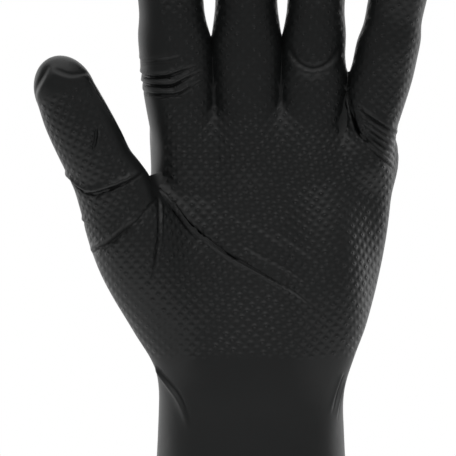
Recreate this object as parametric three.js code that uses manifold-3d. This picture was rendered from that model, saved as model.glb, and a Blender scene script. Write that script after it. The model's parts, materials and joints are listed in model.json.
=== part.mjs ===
// A thin film glove in the form that it keeps on an open left hand. The palm faces -Y, the fingers point up
// along +Z and the thumb leans to -X. The origin is the middle of the cuff's mouth. All lengths are in mm.
//
// The outer surface is where a signed distance field is zero. The field blends one tube for the cuff and palm,
// one for each finger, one for the thumb and its ball, and a few pads. A cage of four-sided faces, laid out
// as the glove branches, is drawn onto that surface, and the same cage moved inwards by the wall is the hollow.
import * as THREE from "three";
import { mergeVertices } from "three/addons/utils/BufferGeometryUtils.js";
import Module from "manifold-3d";

// Driving dimensions
const WALL = 1.0;
const FILM_COLOR = 0x222423;
const CUFF = { length: 50, width: 68, depth: 50 };
const BEAD_RADIUS = 1.1;
const WRIST = { width: 62.6, depth: 40 };
const PALM = { length: 112, width: 84, depth: 31 };
const THUMB = { reach: 101, width: 24.4, depth: 22, lean: 23, forward: 9 };
const FINGERS = [
  { name: "index", reach: 64, width: 23.2, depth: 21, lean: -5, curl: 13, across: -0.305 },
  { name: "middle", reach: 78, width: 22, depth: 22, lean: -0.5, curl: 11, across: -0.017 },
  { name: "ring", reach: 69, width: 20.4, depth: 20.5, lean: 3, curl: 14, across: 0.252 },
  { name: "little", reach: 49, width: 20.5, depth: 18.5, lean: 11.5, curl: 12, across: 0.546 },
];
const FINGER_ROOT = 34; // how far a finger's tube runs down inside the palm
const CURL_RATE = 0.5; // a finger's forward bend grows with the square of the height above the palm's crown
const FOLD_RADIUS = 1.9;
const FOLD_HEIGHT = 1.3; // how far the tallest fold stands above the film

// Blend radii where two tubes meet
const BLEND = { palm: 7, fingers: 1.5, thumb: 10, thumbWeb: 2, pads: 9 };

// Sections of the cuff. up is a share of its length; tight goes from the cuff's own size, 0, to the wrist's, 1.
const CUFF_ROWS = [
  { up: 0.0, tight: 0.0 },
  { up: 0.3, tight: 0.5 },
  { up: 0.7, tight: 0.9 },
];
// Sections of the palm: shares of its length above the wrist, and of its width and depth from the origin's axes
const PALM_ROWS = [
  { up: 0.09, left: -0.385, right: 0.4, front: -0.62, back: 0.6 },
  { up: 0.18, left: -0.411, right: 0.456, front: -0.56, back: 0.57 },
  { up: 0.3, left: -0.411, right: 0.508, front: -0.49, back: 0.55 },
  { up: 0.45, left: -0.405, right: 0.549, front: -0.43, back: 0.54 },
  { up: 0.6, left: -0.382, right: 0.572, front: -0.42, back: 0.53 },
  { up: 0.72, left: -0.38, right: 0.585, front: -0.43, back: 0.5 },
  { up: 0.82, left: -0.405, right: 0.59, front: -0.42, back: 0.44 },
  { up: 0.95, left: -0.43, right: 0.6, front: -0.38, back: 0.38 },
];
const PALM_POWER = 2.3;
// The palm's upper end, between the fingers: it starts to close at a share of the palm's length, and its crest
// falls away from a middle line by a share of the length for each width squared.
const CREST = { starts: 0.73, top: 1.0, middle: -0.024, fall: 0.62, least: 0.82 };
// Sections of a finger and of the thumb: shares of the reach, the width and the depth
const FINGER_ROWS = [
  { up: -0.5, wide: 0.88, deep: 1.0 },
  { up: -0.2, wide: 1.04, deep: 1.02 },
  { up: 0.0, wide: 1.06, deep: 1.02 },
  { up: 0.2, wide: 0.96, deep: 0.96 },
  { up: 0.42, wide: 0.97, deep: 0.98 },
  { up: 0.6, wide: 0.9, deep: 0.89 },
  { up: 0.74, wide: 0.88, deep: 0.86 },
  { up: 0.86, wide: 0.83, deep: 0.78 },
];
const FINGER_TIP = 0.5; // the tip's dome, as a share of the width
const THUMB_ROOT = { across: -0.336, deep: -0.26, up: 0.1625 }; // where its axis starts, in shares of the palm
const THUMB_ROWS = [
  { up: 0.0, wide: 1.025, deep: 1.27 },
  { up: 0.1, wide: 1.02, deep: 1.27 },
  { up: 0.29, wide: 1.045, deep: 1.2 },
  { up: 0.46, wide: 0.985, deep: 1.05 },
  { up: 0.6, wide: 1.0, deep: 1.0 },
  { up: 0.7, wide: 0.95, deep: 0.95 },
  { up: 0.79, wide: 0.9, deep: 0.88 },
  { up: 0.87, wide: 0.83, deep: 0.8 },
];
const THUMB_ENDS = { heel: 0.27, heelCap: 0.34, tip: 0.875 }; // shares of the reach
const THUMB_WEB = { top: 0.58, ramp: 0.16 }; // shares of the palm's length over which the thumb's blend widens
// Pads and knuckles: centre and half size, in shares of the palm's width, depth and length
const PADS = [
  { name: "heel", x: 0.29, y: -0.24, z: 0.3, halfX: 0.15, halfY: 0.36, halfZ: 0.27 },
  { name: "thumb_web", x: -0.44, y: -0.26, z: 0.46, halfX: 0.15, halfY: 0.4, halfZ: 0.14 },
  { name: "index_knuckle", x: -0.28, y: 0.26, z: 0.77, halfX: 0.09, halfY: 0.25, halfZ: 0.08 },
  { name: "middle_knuckle", x: -0.02, y: 0.32, z: 0.79, halfX: 0.09, halfY: 0.25, halfZ: 0.08 },
  { name: "ring_knuckle", x: 0.24, y: 0.29, z: 0.76, halfX: 0.09, halfY: 0.24, halfZ: 0.08 },
  { name: "little_knuckle", x: 0.48, y: 0.2, z: 0.68, halfX: 0.08, halfY: 0.22, halfZ: 0.07 },
];

// Folds of the film over the palm's front. Places run across and up, in shares of the palm's width and length;
// the height is a share of the tallest fold's.
const PALM_FOLDS = [
  { places: [[-0.385, 0.62], [-0.334, 0.583], [-0.237, 0.512], [-0.15, 0.466], [-0.026, 0.418]], height: 1 },
  { places: [[-0.026, 0.418], [0.061, 0.372], [0.154, 0.333], [0.225, 0.302], [0.29, 0.25]], height: 0.6 },
  { places: [[-0.367, 0.69], [-0.329, 0.642], [-0.29, 0.6], [-0.235, 0.53]], height: 0.7 },
  { places: [[-0.362, 0.62], [-0.361, 0.545], [-0.366, 0.475], [-0.39, 0.385], [-0.413, 0.326]], height: 0.8 },
  { places: [[-0.02, 0.515], [0.081, 0.479], [0.206, 0.43], [0.267, 0.394]], height: 0.4 },
  { places: [[-0.37, 0.075], [-0.335, 0.02], [-0.3, -0.04], [-0.285, -0.1]], height: 0.7 },
];
// Folds around the thumb and the fingers, from one angle to another. An angle of 0 is the right side, -90 the
// front and -180 the left side. start and end are shares of the reach.
const RING_FOLDS = [
  { on: "thumb", from: -215, to: -40, start: 0.555, end: 0.515, height: 1 },
  { on: "thumb", from: -205, to: -75, start: 0.36, end: 0.46, height: 0.6 },
  { on: "thumb", from: -170, to: -50, start: 0.83, end: 0.86, height: 0.6 },
  { on: "index", from: -215, to: -60, start: -0.03, end: 0.0, height: 0.9 },
  { on: "index", from: -205, to: -50, start: -0.08, end: -0.06, height: 0.7 },
  { on: "ring", from: -165, to: -25, start: 0.01, end: -0.01, height: 0.6 },
  { on: "little", from: -150, to: 20, start: -0.22, end: -0.36, height: 0.7 },
  { on: "little", from: -145, to: 20, start: -0.33, end: -0.47, height: 0.7 },
  { on: "little", from: -140, to: 10, start: -0.45, end: -0.59, height: 0.6 },
];

// Cage layout: faces along one side of a finger's ring, rows up the body, a finger and the thumb, and on a tip
const SIDE_COUNT = 4;
const ROWS = { cuff: 9, palm: 19, finger: 12, thumb: 8, cap: 3 };
const THUMB_HOLE_SHARE = 0.42; // where the thumb's opening starts, as a share of the palm's length
const RELAX_COUNT = 40;
const CORNER = { x: 0.86, y: 0.4 }; // where the body's sides meet, in shares of its half width and half depth
const START = { fingers: 0.89, crown: 0.68 }; // where the fingers' rings and the rows that lead to them start
const THUMB_RING = { outer: 0.42, web: 0.5, inward: 0.35 }; // the thumb's lowest ring, in shares of its reach
const WALK = { count: 60, stride: 0.7 }; // how a point walks to the surface
const SETTLE_COUNT = 3; // last steps that put every point on the surface
const FOLD_ROW_COUNT = 9;
const FOLD_SIDE_COUNT = 6;
const FOLD_TAPER = 0.6; // below 1 a fold keeps its height for longer before it dies out
const MERGE = 1e-4; // points closer than this are one

const wasm = await Module();
wasm.setup();

const degrees = THREE.MathUtils.degToRad;
const mix = THREE.MathUtils.lerp;
const ease = (t) => THREE.MathUtils.smoothstep(t, 0, 1);

// Returns a smooth function through one column of a table whose rows have an "at" and that column.
function curveThrough(rows, column) {
  const at = rows.map((row) => row.at);
  const value = rows.map((row) => row[column]);
  const last = rows.length - 1;
  const slope = value.map((_, i) => {
    const [a, b] = [Math.max(i - 1, 0), Math.min(i + 1, last)];
    return (value[b] - value[a]) / (at[b] - at[a]);
  });
  return (where) => {
    if (where <= at[0]) return value[0];
    if (where >= at[last]) return value[last];
    const i = at.findIndex((next) => where < next) - 1;
    const span = at[i + 1] - at[i];
    const t = (where - at[i]) / span;
    const [t2, t3] = [t * t, t * t * t];
    return (
      (2 * t3 - 3 * t2 + 1) * value[i] +
      (t3 - 2 * t2 + t) * span * slope[i] +
      (3 * t2 - 2 * t3) * value[i + 1] +
      (t3 - t2) * span * slope[i + 1]
    );
  };
}

// Signed distance, to first order, to a rounded section of half size a by b. past is how far the point lies
// beyond the tube's end, as a share of the end's dome, whose height is cap.
function sectionDistance(x, y, past, a, b, cap, power = 2) {
  const shares = [Math.abs(x) / a, Math.abs(y) / b, Math.max(past, 0)];
  const sum = shares.reduce((total, share) => total + share ** power, 0);
  const q = Math.max(sum, 1e-9) ** (1 / power);
  const slope = Math.hypot(...shares.map((share, i) => (share / q) ** (power - 1) / [a, b, cap][i]));
  return (q - 1) / Math.max(slope, 1 / Math.max(a, b));
}

// Smooth minimum of two distances: the smaller one, rounded over where they differ by less than the radius.
function blend(a, b, radius) {
  const near = Math.max(radius - Math.abs(a - b), 0) / radius;
  return Math.min(a, b) - (near * near * radius) / 4;
}

// Body: the cuff, the wrist and the palm as one upright tube
const wristZ = CUFF.length;
const palmZ = (up) => wristZ + up * PALM.length;
const edgesOf = (width, depth) => ({ left: -width / 2, right: width / 2, front: -depth / 2, back: depth / 2 });
const bodyRows = [
  ...CUFF_ROWS.map(({ up, tight }) => {
    const [width, depth] = [mix(CUFF.width, WRIST.width, tight), mix(CUFF.depth, WRIST.depth, tight)];
    return { at: up * CUFF.length, ...edgesOf(width, depth) };
  }),
  { at: wristZ, ...edgesOf(WRIST.width, WRIST.depth) },
  ...PALM_ROWS.map(({ up, left, right, front, back }) => ({
    at: palmZ(up),
    left: left * PALM.width,
    right: right * PALM.width,
    front: front * PALM.depth,
    back: back * PALM.depth,
  })),
];
const bodyEdge = {};
for (const side of ["left", "right", "front", "back"]) bodyEdge[side] = curveThrough(bodyRows, side);

function bodySection(z) {
  const [left, right, front, back] = ["left", "right", "front", "back"].map((side) => bodyEdge[side](z));
  return { x: (left + right) / 2, y: (front + back) / 2, a: (right - left) / 2, b: (back - front) / 2 };
}

// Height of the palm's crest between the fingers, at x
function crestZ(x) {
  const share = CREST.top - CREST.fall * (x / PALM.width - CREST.middle) ** 2;
  return palmZ(Math.max(share, CREST.least));
}

function bodyDistance(p) {
  const { x, y, a, b } = bodySection(p.z);
  const cap = crestZ(p.x) - palmZ(CREST.starts);
  return sectionDistance(p.x - x, p.y - y, (p.z - palmZ(CREST.starts)) / cap, a, b, cap, PALM_POWER);
}

// Fingers: each is a leaning tube whose sections are level
const fingers = FINGERS.map((finger) => {
  const rise = finger.reach * Math.cos(degrees(finger.lean));
  const rows = FINGER_ROWS.map((row) => ({ ...row, at: palmZ(1) + row.up * rise }));
  const [wide, deep] = [curveThrough(rows, "wide"), curveThrough(rows, "deep")];
  const cap = FINGER_TIP * finger.width;
  return {
    cap,
    tipZ: palmZ(1) + rise,
    domeZ: palmZ(1) + rise - cap,
    rootZ: palmZ(1) - FINGER_ROOT,
    section: (z) => ({
      x: finger.across * PALM.width + Math.tan(degrees(finger.lean)) * (z - palmZ(1)),
      y: -CURL_RATE * finger.curl * Math.max((z - palmZ(CREST.starts)) / rise, 0) ** 2,
      a: (wide(z) * finger.width) / 2,
      b: (deep(z) * finger.depth) / 2,
    }),
  };
});

function fingerDistance(finger, p) {
  const { x, y, a, b } = finger.section(p.z);
  const past = Math.max((p.z - finger.domeZ) / finger.cap, (finger.rootZ - p.z) / finger.cap);
  return sectionDistance(p.x - x, p.y - y, past, a, b, finger.cap);
}

// Thumb: a tube along its own axis, from inside the heel of the palm to its tip
const thumb = (() => {
  const [lean, forward] = [degrees(THUMB.lean), degrees(THUMB.forward)];
  const axis = new THREE.Vector3(-Math.sin(lean), -Math.tan(forward), Math.cos(lean)).normalize();
  const side = new THREE.Vector3(Math.cos(lean), 0, Math.sin(lean));
  const back = axis.clone().cross(side).normalize();
  const root = new THREE.Vector3(
    THUMB_ROOT.across * PALM.width,
    THUMB_ROOT.deep * PALM.depth,
    palmZ(THUMB_ROOT.up),
  );
  const rows = THUMB_ROWS.map((row) => ({ ...row, at: row.up * THUMB.reach }));
  const [wide, deep] = [curveThrough(rows, "wide"), curveThrough(rows, "deep")];
  return {
    heel: THUMB_ENDS.heel * THUMB.reach,
    heelCap: THUMB_ENDS.heelCap * THUMB.reach,
    dome: THUMB_ENDS.tip * THUMB.reach,
    cap: (1 - THUMB_ENDS.tip) * THUMB.reach,
    halfWidth: (t) => (wide(t) * THUMB.width) / 2,
    halfDepth: (t) => (deep(t) * THUMB.depth) / 2,
    local: (p) => {
      const d = p.clone().sub(root);
      return { u: d.dot(side), v: d.dot(back), t: d.dot(axis) };
    },
    world(u, v, t) {
      const p = root.clone().addScaledVector(side, u);
      return p.addScaledVector(back, v).addScaledVector(axis, t);
    },
  };
})();

function thumbDistance(p) {
  const { u, v, t } = thumb.local(p);
  const past = Math.max((t - thumb.dome) / thumb.cap, (thumb.heel - t) / thumb.heelCap);
  const cap = t > thumb.heel ? thumb.cap : thumb.heelCap;
  return sectionDistance(u, v, past, thumb.halfWidth(t), thumb.halfDepth(t), cap);
}

const webZ = palmZ(THUMB_WEB.top); // above it the thumb and the palm are apart

function padDistance(pad, p) {
  const [a, b, c] = [pad.halfX * PALM.width, pad.halfY * PALM.depth, pad.halfZ * PALM.length];
  const [x, y, z] = [p.x - pad.x * PALM.width, p.y - pad.y * PALM.depth, p.z - palmZ(pad.z)];
  return sectionDistance(x, y, Math.abs(z) / c, a, b, c);
}

// Signed distance to the whole glove's outer surface, negative inside
function gloveDistance(p) {
  const pads = PADS.reduce((d, pad) => blend(d, padDistance(pad, p), BLEND.pads), bodyDistance(p));
  const each = fingers.map((finger) => fingerDistance(finger, p));
  const group = each.reduce((a, b) => blend(a, b, BLEND.fingers));
  const hand = blend(pads, group, BLEND.palm);
  const low = ease((webZ - p.z) / (THUMB_WEB.ramp * PALM.length));
  return blend(hand, thumbDistance(p), mix(BLEND.thumbWeb, BLEND.thumb, low));
}

const PROBE = 0.2; // step of the field's differences
const WEB_SEARCH = 8; // how far above a web the search for it starts
function gradientAt(p) {
  const slope = new THREE.Vector3();
  const probe = p.clone();
  for (const axis of ["x", "y", "z"]) {
    probe[axis] = p[axis] + PROBE;
    const ahead = gloveDistance(probe);
    probe[axis] = p[axis] - PROBE;
    slope[axis] = (ahead - gloveDistance(probe)) / (2 * PROBE);
    probe[axis] = p[axis];
  }
  return slope;
}

// Moves a point along the field's gradient until it lies on the surface.
function drawOn(p, steps, keepLevel) {
  for (let i = 0; i < steps; i++) {
    const slope = gradientAt(p);
    if (keepLevel) slope.z = 0;
    p.addScaledVector(slope, -gloveDistance(p) / Math.max(slope.lengthSq(), 0.1));
  }
  return p;
}

// Cage: welded points and outward four-sided faces. A row that has shrunk to a point gives triangles.
const cage = { points: [], faces: [], found: new Map() };

function cagePoint(p) {
  const key = [p.x, p.y, p.z].map((value) => value.toFixed(3)).join();
  if (!cage.found.has(key)) {
    cage.found.set(key, cage.points.length);
    cage.points.push(p.clone());
  }
  return cage.found.get(key);
}

function addGrid(rows, columns, pointAt, skip = () => false) {
  const points = Array.from({ length: rows + 1 }, (_, r) =>
    Array.from({ length: columns }, (_, c) => pointAt(r, c)),
  );
  for (let r = 0; r < rows; r++)
    for (let c = 0; c < columns; c++) {
      if (skip(r, c)) continue;
      const next = (c + 1) % columns;
      cage.faces.push([points[r][c], points[r][next], points[r + 1][next], points[r + 1][c]].map(cagePoint));
    }
}

// Around a finger's ring: front from left to right, right side, back from right to left, left side
const RING = 4 * SIDE_COUNT;
const ringAngle = (m) => degrees(225 + (360 * m) / RING);
function onSide(m) {
  const share = (m % SIDE_COUNT) / SIDE_COUNT;
  return m % (2 * SIDE_COUNT) > SIDE_COUNT ? Math.sin(Math.PI * share) : 0;
}
const fingerStartZ = palmZ(START.fingers);

// A point on a finger's ring. Between two fingers its lowest row climbs over the crotch.
function fingerPoint(f, m, up) {
  const finger = fingers[f];
  const between = m > 2 * SIDE_COUNT ? f > 0 : f < fingers.length - 1;
  const neighbour = m > 2 * SIDE_COUNT ? f - 1 : f + 1;
  const sideX = between ? mix(FINGERS[f].across, FINGERS[neighbour].across, 0.5) * PALM.width : 0;
  const startZ = between ? mix(fingerStartZ, crestZ(sideX), onSide(m)) : fingerStartZ;
  const z = mix(startZ, finger.domeZ, up);
  const { x, y, a, b } = finger.section(z);
  return new THREE.Vector3(x + a * Math.cos(ringAngle(m)), y + b * Math.sin(ringAngle(m)), z);
}

// Lowers a point that stands in a gap until it rests on the web at the bottom, where it then stays.
const webPoints = new Set();
function restOnWeb(p) {
  p.z += WEB_SEARCH;
  for (let drop = 0; drop < 4 * WEB_SEARCH && gloveDistance(p) > 0; drop += PROBE) p.z -= PROBE;
  webPoints.add(cagePoint(p));
  return p;
}

// A finger's lowest ring shares its side with the finger beside it.
function fingerFoot(f, m) {
  const own = fingerPoint(f, m, 0);
  const right = m >= SIDE_COUNT && m <= 2 * SIDE_COUNT && f < fingers.length - 1;
  const left = (m === 0 || m >= 3 * SIDE_COUNT) && f > 0;
  if (!right && !left) return own;
  const mirrored = (5 * SIDE_COUNT - m + RING) % RING;
  const shared = own.lerp(fingerPoint(right ? f + 1 : f - 1, mirrored, 0), 0.5);
  return m % SIDE_COUNT === SIDE_COUNT / 2 ? restOnWeb(shared) : shared;
}

fingers.forEach((finger, f) => {
  addGrid(ROWS.finger, RING, (r, m) => (r === 0 ? fingerFoot(f, m) : fingerPoint(f, m, r / ROWS.finger)));
  addGrid(ROWS.cap, RING, (r, m) => {
    const turn = ((Math.PI / 2) * r) / ROWS.cap;
    const { x, y, a, b } = finger.section(finger.domeZ + finger.cap * Math.sin(turn));
    const ring = r === ROWS.cap ? 0 : Math.cos(turn);
    const base = finger.section(finger.domeZ);
    const [ringA, ringB] = r === 0 ? [base.a, base.b] : [a * ring, b * ring];
    const z = finger.domeZ + finger.cap * Math.sin(turn);
    return new THREE.Vector3(x + ringA * Math.cos(ringAngle(m)), y + ringB * Math.sin(ringAngle(m)), z);
  });
});

// Around the body: front from left to right, right side, back, left side
const BODY_COLUMNS = (2 * FINGERS.length + 2) * SIDE_COUNT;
const FRONT = FINGERS.length * SIDE_COUNT;

// The point of the fingers' lowest rings that stands over column c
function bodyTop(c) {
  const inFront = Math.min(Math.floor(c / SIDE_COUNT), FINGERS.length - 1);
  if (c <= FRONT) return fingerFoot(inFront, c - SIDE_COUNT * inFront);
  if (c <= FRONT + SIDE_COUNT) return fingerFoot(FINGERS.length - 1, c - FRONT + SIDE_COUNT);
  if (c >= 2 * FRONT + SIDE_COUNT) return fingerFoot(0, (c - 2 * FRONT - SIDE_COUNT + 3 * SIDE_COUNT) % RING);
  const along = c - FRONT - SIDE_COUNT;
  const f = FINGERS.length - 1 - Math.min(Math.floor(along / SIDE_COUNT), FINGERS.length - 1);
  return fingerFoot(f, 2 * SIDE_COUNT + along - SIDE_COUNT * (FINGERS.length - 1 - f));
}

// Walks from the middle of the body's section, level, through column c's place on the outline, to the surface.
function bodyPoint(c, z) {
  const { x, y, a, b } = bodySection(z);
  let [u, v] = [0, 0];
  if (c <= FRONT) [u, v] = [mix(-CORNER.x, CORNER.x, c / FRONT), -1];
  else if (c < FRONT + SIDE_COUNT) [u, v] = [1, mix(-CORNER.y, CORNER.y, (c - FRONT) / SIDE_COUNT)];
  else if (c <= 2 * FRONT + SIDE_COUNT) [u, v] = [mix(CORNER.x, -CORNER.x, (c - FRONT - SIDE_COUNT) / FRONT), 1];
  else [u, v] = [-1, mix(CORNER.y, -CORNER.y, (c - 2 * FRONT - SIDE_COUNT) / SIDE_COUNT)];
  const way = new THREE.Vector3(u * a, v * b, 0).normalize();
  const p = new THREE.Vector3(x, y, z);
  for (let i = 0; i < WALK.count; i++) p.addScaledVector(way, Math.max(-WALK.stride * gloveDistance(p), 0));
  return p;
}

const bodyLevels = [];
for (let r = 0; r < ROWS.cuff; r++) bodyLevels.push(mix(2 * BEAD_RADIUS, wristZ, r / ROWS.cuff));
for (let r = 0; r <= ROWS.palm; r++) bodyLevels.push(mix(wristZ, fingerStartZ, r / ROWS.palm));
const bodyRowCount = bodyLevels.length - 1;
const holeRow = ROWS.cuff + Math.round((THUMB_HOLE_SHARE * PALM.length * ROWS.palm) / (fingerStartZ - wristZ));
const holeColumn = 2 * FRONT + SIDE_COUNT;

// The thumb's lowest ring, slanted so that it reaches up into the web
function thumbPoint(m, up) {
  const angle = ringAngle(m);
  const start = mix(THUMB_RING.outer, THUMB_RING.web, (1 + Math.cos(angle)) / 2) * THUMB.reach;
  const t = mix(start, thumb.dome, up);
  const p = thumb.world(thumb.halfWidth(t) * Math.cos(angle), thumb.halfDepth(t) * Math.sin(angle), t);
  if (up > 0 || m !== 1.5 * SIDE_COUNT) return p;
  p.lerp(new THREE.Vector3(bodyEdge.left(p.z), bodySection(p.z).y, p.z), THUMB_RING.inward);
  return restOnWeb(p);
}

// The thumb's ring index at a place on the rim of its opening in the body, or null off the rim
function rimIndex(r, c) {
  const [dr, dc] = [r - holeRow, (c === 0 ? BODY_COLUMNS : c) - holeColumn];
  if (dr < 0 || dr > SIDE_COUNT || dc < 0 || dc > SIDE_COUNT) return null;
  if (dc === SIDE_COUNT) return dr;
  if (dr === SIDE_COUNT) return 2 * SIDE_COUNT - dc;
  if (dc === 0) return 3 * SIDE_COUNT - dr;
  return dr === 0 ? 3 * SIDE_COUNT + dc : null;
}

const firstBodyFace = cage.faces.length;
addGrid(
  bodyRowCount,
  BODY_COLUMNS,
  (r, c) => {
    const m = rimIndex(r, c);
    if (m !== null) return thumbPoint(m % RING, 0);
    if (r === bodyRowCount) return bodyTop(c);
    const near = ease((bodyLevels[r] - palmZ(START.crown)) / (fingerStartZ - palmZ(START.crown)));
    return bodyPoint(c, bodyLevels[r]).lerp(bodyTop(c), near);
  },
  (r, c) => r >= holeRow && r < holeRow + SIDE_COUNT && c >= holeColumn,
);

addGrid(ROWS.thumb, RING, (r, m) => thumbPoint(m, r / ROWS.thumb));
addGrid(ROWS.cap, RING, (r, m) => {
  const turn = ((Math.PI / 2) * r) / ROWS.cap;
  const t = thumb.dome + thumb.cap * Math.sin(turn);
  const ring = r === ROWS.cap ? 0 : Math.cos(turn);
  const at = r === 0 ? thumb.dome : t;
  const u = thumb.halfWidth(at) * ring * Math.cos(ringAngle(m));
  const v = thumb.halfDepth(at) * ring * Math.sin(ringAngle(m));
  return thumb.world(u, v, r === 0 ? thumb.dome : t);
});

// Relaxing spreads the points evenly over the surface; the mouth's ring stays level.
const neighbours = cage.points.map(() => new Set());
for (const face of cage.faces)
  face.forEach((v, i) => {
    const w = face[(i + 1) % face.length];
    if (v !== w) [neighbours[v].add(w), neighbours[w].add(v)];
  });
const mouthZ = bodyLevels[0];
const onMouth = cage.points.map((p) => Math.abs(p.z - mouthZ) < PROBE / 100);
for (let step = 0; step < RELAX_COUNT; step++) {
  const middles = neighbours.map((near) => {
    const sum = new THREE.Vector3();
    for (const i of near) sum.add(cage.points[i]);
    return sum.divideScalar(near.size);
  });
  cage.points.forEach((p, i) => {
    if (webPoints.has(i)) return;
    p.lerp(middles[i], 0.5);
    if (onMouth[i]) p.z = mouthZ;
    drawOn(p, 1, onMouth[i]);
  });
}
cage.points.forEach((p, i) => drawOn(p, SETTLE_COUNT, onMouth[i]));

// Skins: closed surfaces made of the cage, moved along its outward directions, and the rings that end it below
const normals = cage.points.map((p, i) => {
  const slope = gradientAt(p);
  if (onMouth[i]) slope.z = 0;
  return slope.normalize();
});
const mouthRing = cage.faces.slice(firstBodyFace, firstBodyFace + BODY_COLUMNS).map((face) => face[0]);

// Closes the cage, moved in by a distance, with rings below its mouth. Each ring moves out and stands at
// a height.
function skin(inset, rings) {
  const points = cage.points.map((p, i) => p.clone().addScaledVector(normals[i], -inset));
  const faces = cage.faces.map((face) => [...face]);
  let above = mouthRing;
  for (const { out, z } of rings) {
    const ring = mouthRing.map((i) => {
      const p = points[i].clone().addScaledVector(normals[i], out);
      p.z = z;
      return points.push(p) - 1;
    });
    ring.forEach((_, c) => {
      const next = (c + 1) % ring.length;
      faces.push([ring[c], ring[next], above[next], above[c]]);
    });
    above = ring;
  }
  const middle = points.push(new THREE.Vector3(0, 0, points[above[0]].z)) - 1;
  above.forEach((i, c) => faces.push([i, middle, middle, above[(c + 1) % above.length]]));
  return solidFrom(points, faces);
}

// Splits each face along its shorter diagonal and hands the triangles to the solid modeller.
function solidFrom(points, faces) {
  const triangles = [];
  for (const [a, b, c, d] of faces) {
    const short = points[a].distanceTo(points[c]) < points[b].distanceTo(points[d]);
    const pair = short ? [[a, b, c], [a, c, d]] : [[a, b, d], [b, c, d]];
    for (const [i, j, k] of pair) if (i !== j && j !== k && k !== i) triangles.push(i, j, k);
  }
  const geometry = new THREE.BufferGeometry();
  geometry.setAttribute("position", new THREE.Float32BufferAttribute(points.flatMap((p) => p.toArray()), 3));
  geometry.setIndex(triangles);
  const merged = mergeVertices(geometry, MERGE);
  return new wasm.Manifold(
    new wasm.Mesh({
      numProp: 3,
      vertProperties: merged.attributes.position.array,
      triVerts: Uint32Array.from(merged.index.array),
    }),
  );
}

// The rolled rim: quarter turns of a bead under the mouth, bulging outwards
const bead = [45, 0, -45, -90].map((turn) => ({
  out: BEAD_RADIUS * Math.cos(degrees(turn)),
  z: BEAD_RADIUS * (1 + Math.sin(degrees(turn))),
}));
const outer = skin(0, bead);
const hollow = skin(WALL, [{ out: 0, z: -BEAD_RADIUS }]);

// A fold is a thin closed sweep that lies in the film and stands a little above it, dying out at both ends.
function foldSolid(path, height) {
  const points = [];
  const faces = [];
  const rings = FOLD_ROW_COUNT;
  for (let r = 0; r <= rings; r++) {
    const [here, ahead, behind] = [r, Math.min(r + 1, rings), Math.max(r - 1, 0)].map((i) => path(i / rings));
    const swell = Math.sin((Math.PI * r) / rings) ** FOLD_TAPER;
    const up = gradientAt(here).normalize();
    const side = ahead.sub(behind).cross(up).normalize();
    const centre = here.addScaledVector(up, height * swell - FOLD_RADIUS);
    for (let k = 0; k < FOLD_SIDE_COUNT; k++) {
      const turn = (2 * Math.PI * k) / FOLD_SIDE_COUNT;
      const spread = FOLD_RADIUS * swell;
      const p = centre.clone().addScaledVector(side, spread * Math.cos(turn));
      points.push(p.addScaledVector(up, spread * Math.sin(turn)));
    }
  }
  for (let r = 0; r < rings; r++)
    for (let k = 0; k < FOLD_SIDE_COUNT; k++) {
      const next = (k + 1) % FOLD_SIDE_COUNT;
      const [a, b] = [r * FOLD_SIDE_COUNT, (r + 1) * FOLD_SIDE_COUNT];
      faces.push([a + k, b + k, b + next, a + next]);
    }
  return solidFrom(points, faces);
}

// A path over the palm's front, through places in shares of the palm's width and length
function palmPath(places) {
  const line = new THREE.CatmullRomCurve3(
    places.map(([across, up]) => new THREE.Vector3(across * PALM.width, 0, palmZ(up))),
  );
  return (share) => {
    const p = line.getPointAt(share);
    p.y = -PALM.depth;
    for (let i = 0; i < WALK.count; i++) p.y += WALK.stride * Math.max(gloveDistance(p), 0);
    return p;
  };
}

// A path around the thumb or a finger, between two angles from its right side towards its back
function ringPath({ on, from, to, start, end }) {
  return (share) => {
    const angle = degrees(mix(from, to, share));
    const up = mix(start, end, share);
    if (on === "thumb") {
      const t = up * THUMB.reach;
      const u = thumb.halfWidth(t) * Math.cos(angle);
      return drawOn(thumb.world(u, thumb.halfDepth(t) * Math.sin(angle), t), SETTLE_COUNT);
    }
    const finger = fingers[FINGERS.findIndex(({ name }) => name === on)];
    const z = palmZ(1) + up * (finger.tipZ - palmZ(1));
    const { x, y, a, b } = finger.section(z);
    return drawOn(new THREE.Vector3(x + a * Math.cos(angle), y + b * Math.sin(angle), z), SETTLE_COUNT);
  };
}

const folds = [
  ...PALM_FOLDS.map(({ places, height }) => foldSolid(palmPath(places), height * FOLD_HEIGHT)),
  ...RING_FOLDS.map((fold) => foldSolid(ringPath(fold), fold.height * FOLD_HEIGHT)),
];
const film = folds.reduce((solid, fold) => solid.add(fold), outer).subtract(hollow);

// The solid as a mesh of the scene
function meshFrom(solid, name, color) {
  const mesh = solid.getMesh();
  const geometry = new THREE.BufferGeometry();
  geometry.setAttribute("position", new THREE.BufferAttribute(Float32Array.from(mesh.vertProperties), 3));
  geometry.setIndex(new THREE.BufferAttribute(Uint32Array.from(mesh.triVerts), 1));
  geometry.computeVertexNormals();
  const object = new THREE.Mesh(geometry, new THREE.MeshStandardMaterial({ color, roughness: 0.45 }));
  object.name = name;
  return object;
}

const group = new THREE.Group();
group.name = "nitrile_glove";
group.add(meshFrom(film, "glove", FILM_COLOR));
export default group;
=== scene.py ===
"""A black nitrile glove with a diamond grip texture, in the form that it takes on an open left hand.

The palm faces -Y, the fingers point up along +Z and the thumb leans to -X. Shapes are worked out in
millimetres and made into meshes in metres. The outer surface is where a signed distance field is zero; the
field blends a tube for the cuff and palm, one for each finger and one for the thumb. A cage of four-sided
faces, laid out as the glove branches, is drawn onto that surface and refined, and the folds of the film are
then raised on it.
"""

import json
import logging
import math
from dataclasses import dataclass, field
from enum import Enum
from typing import Sequence

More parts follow.
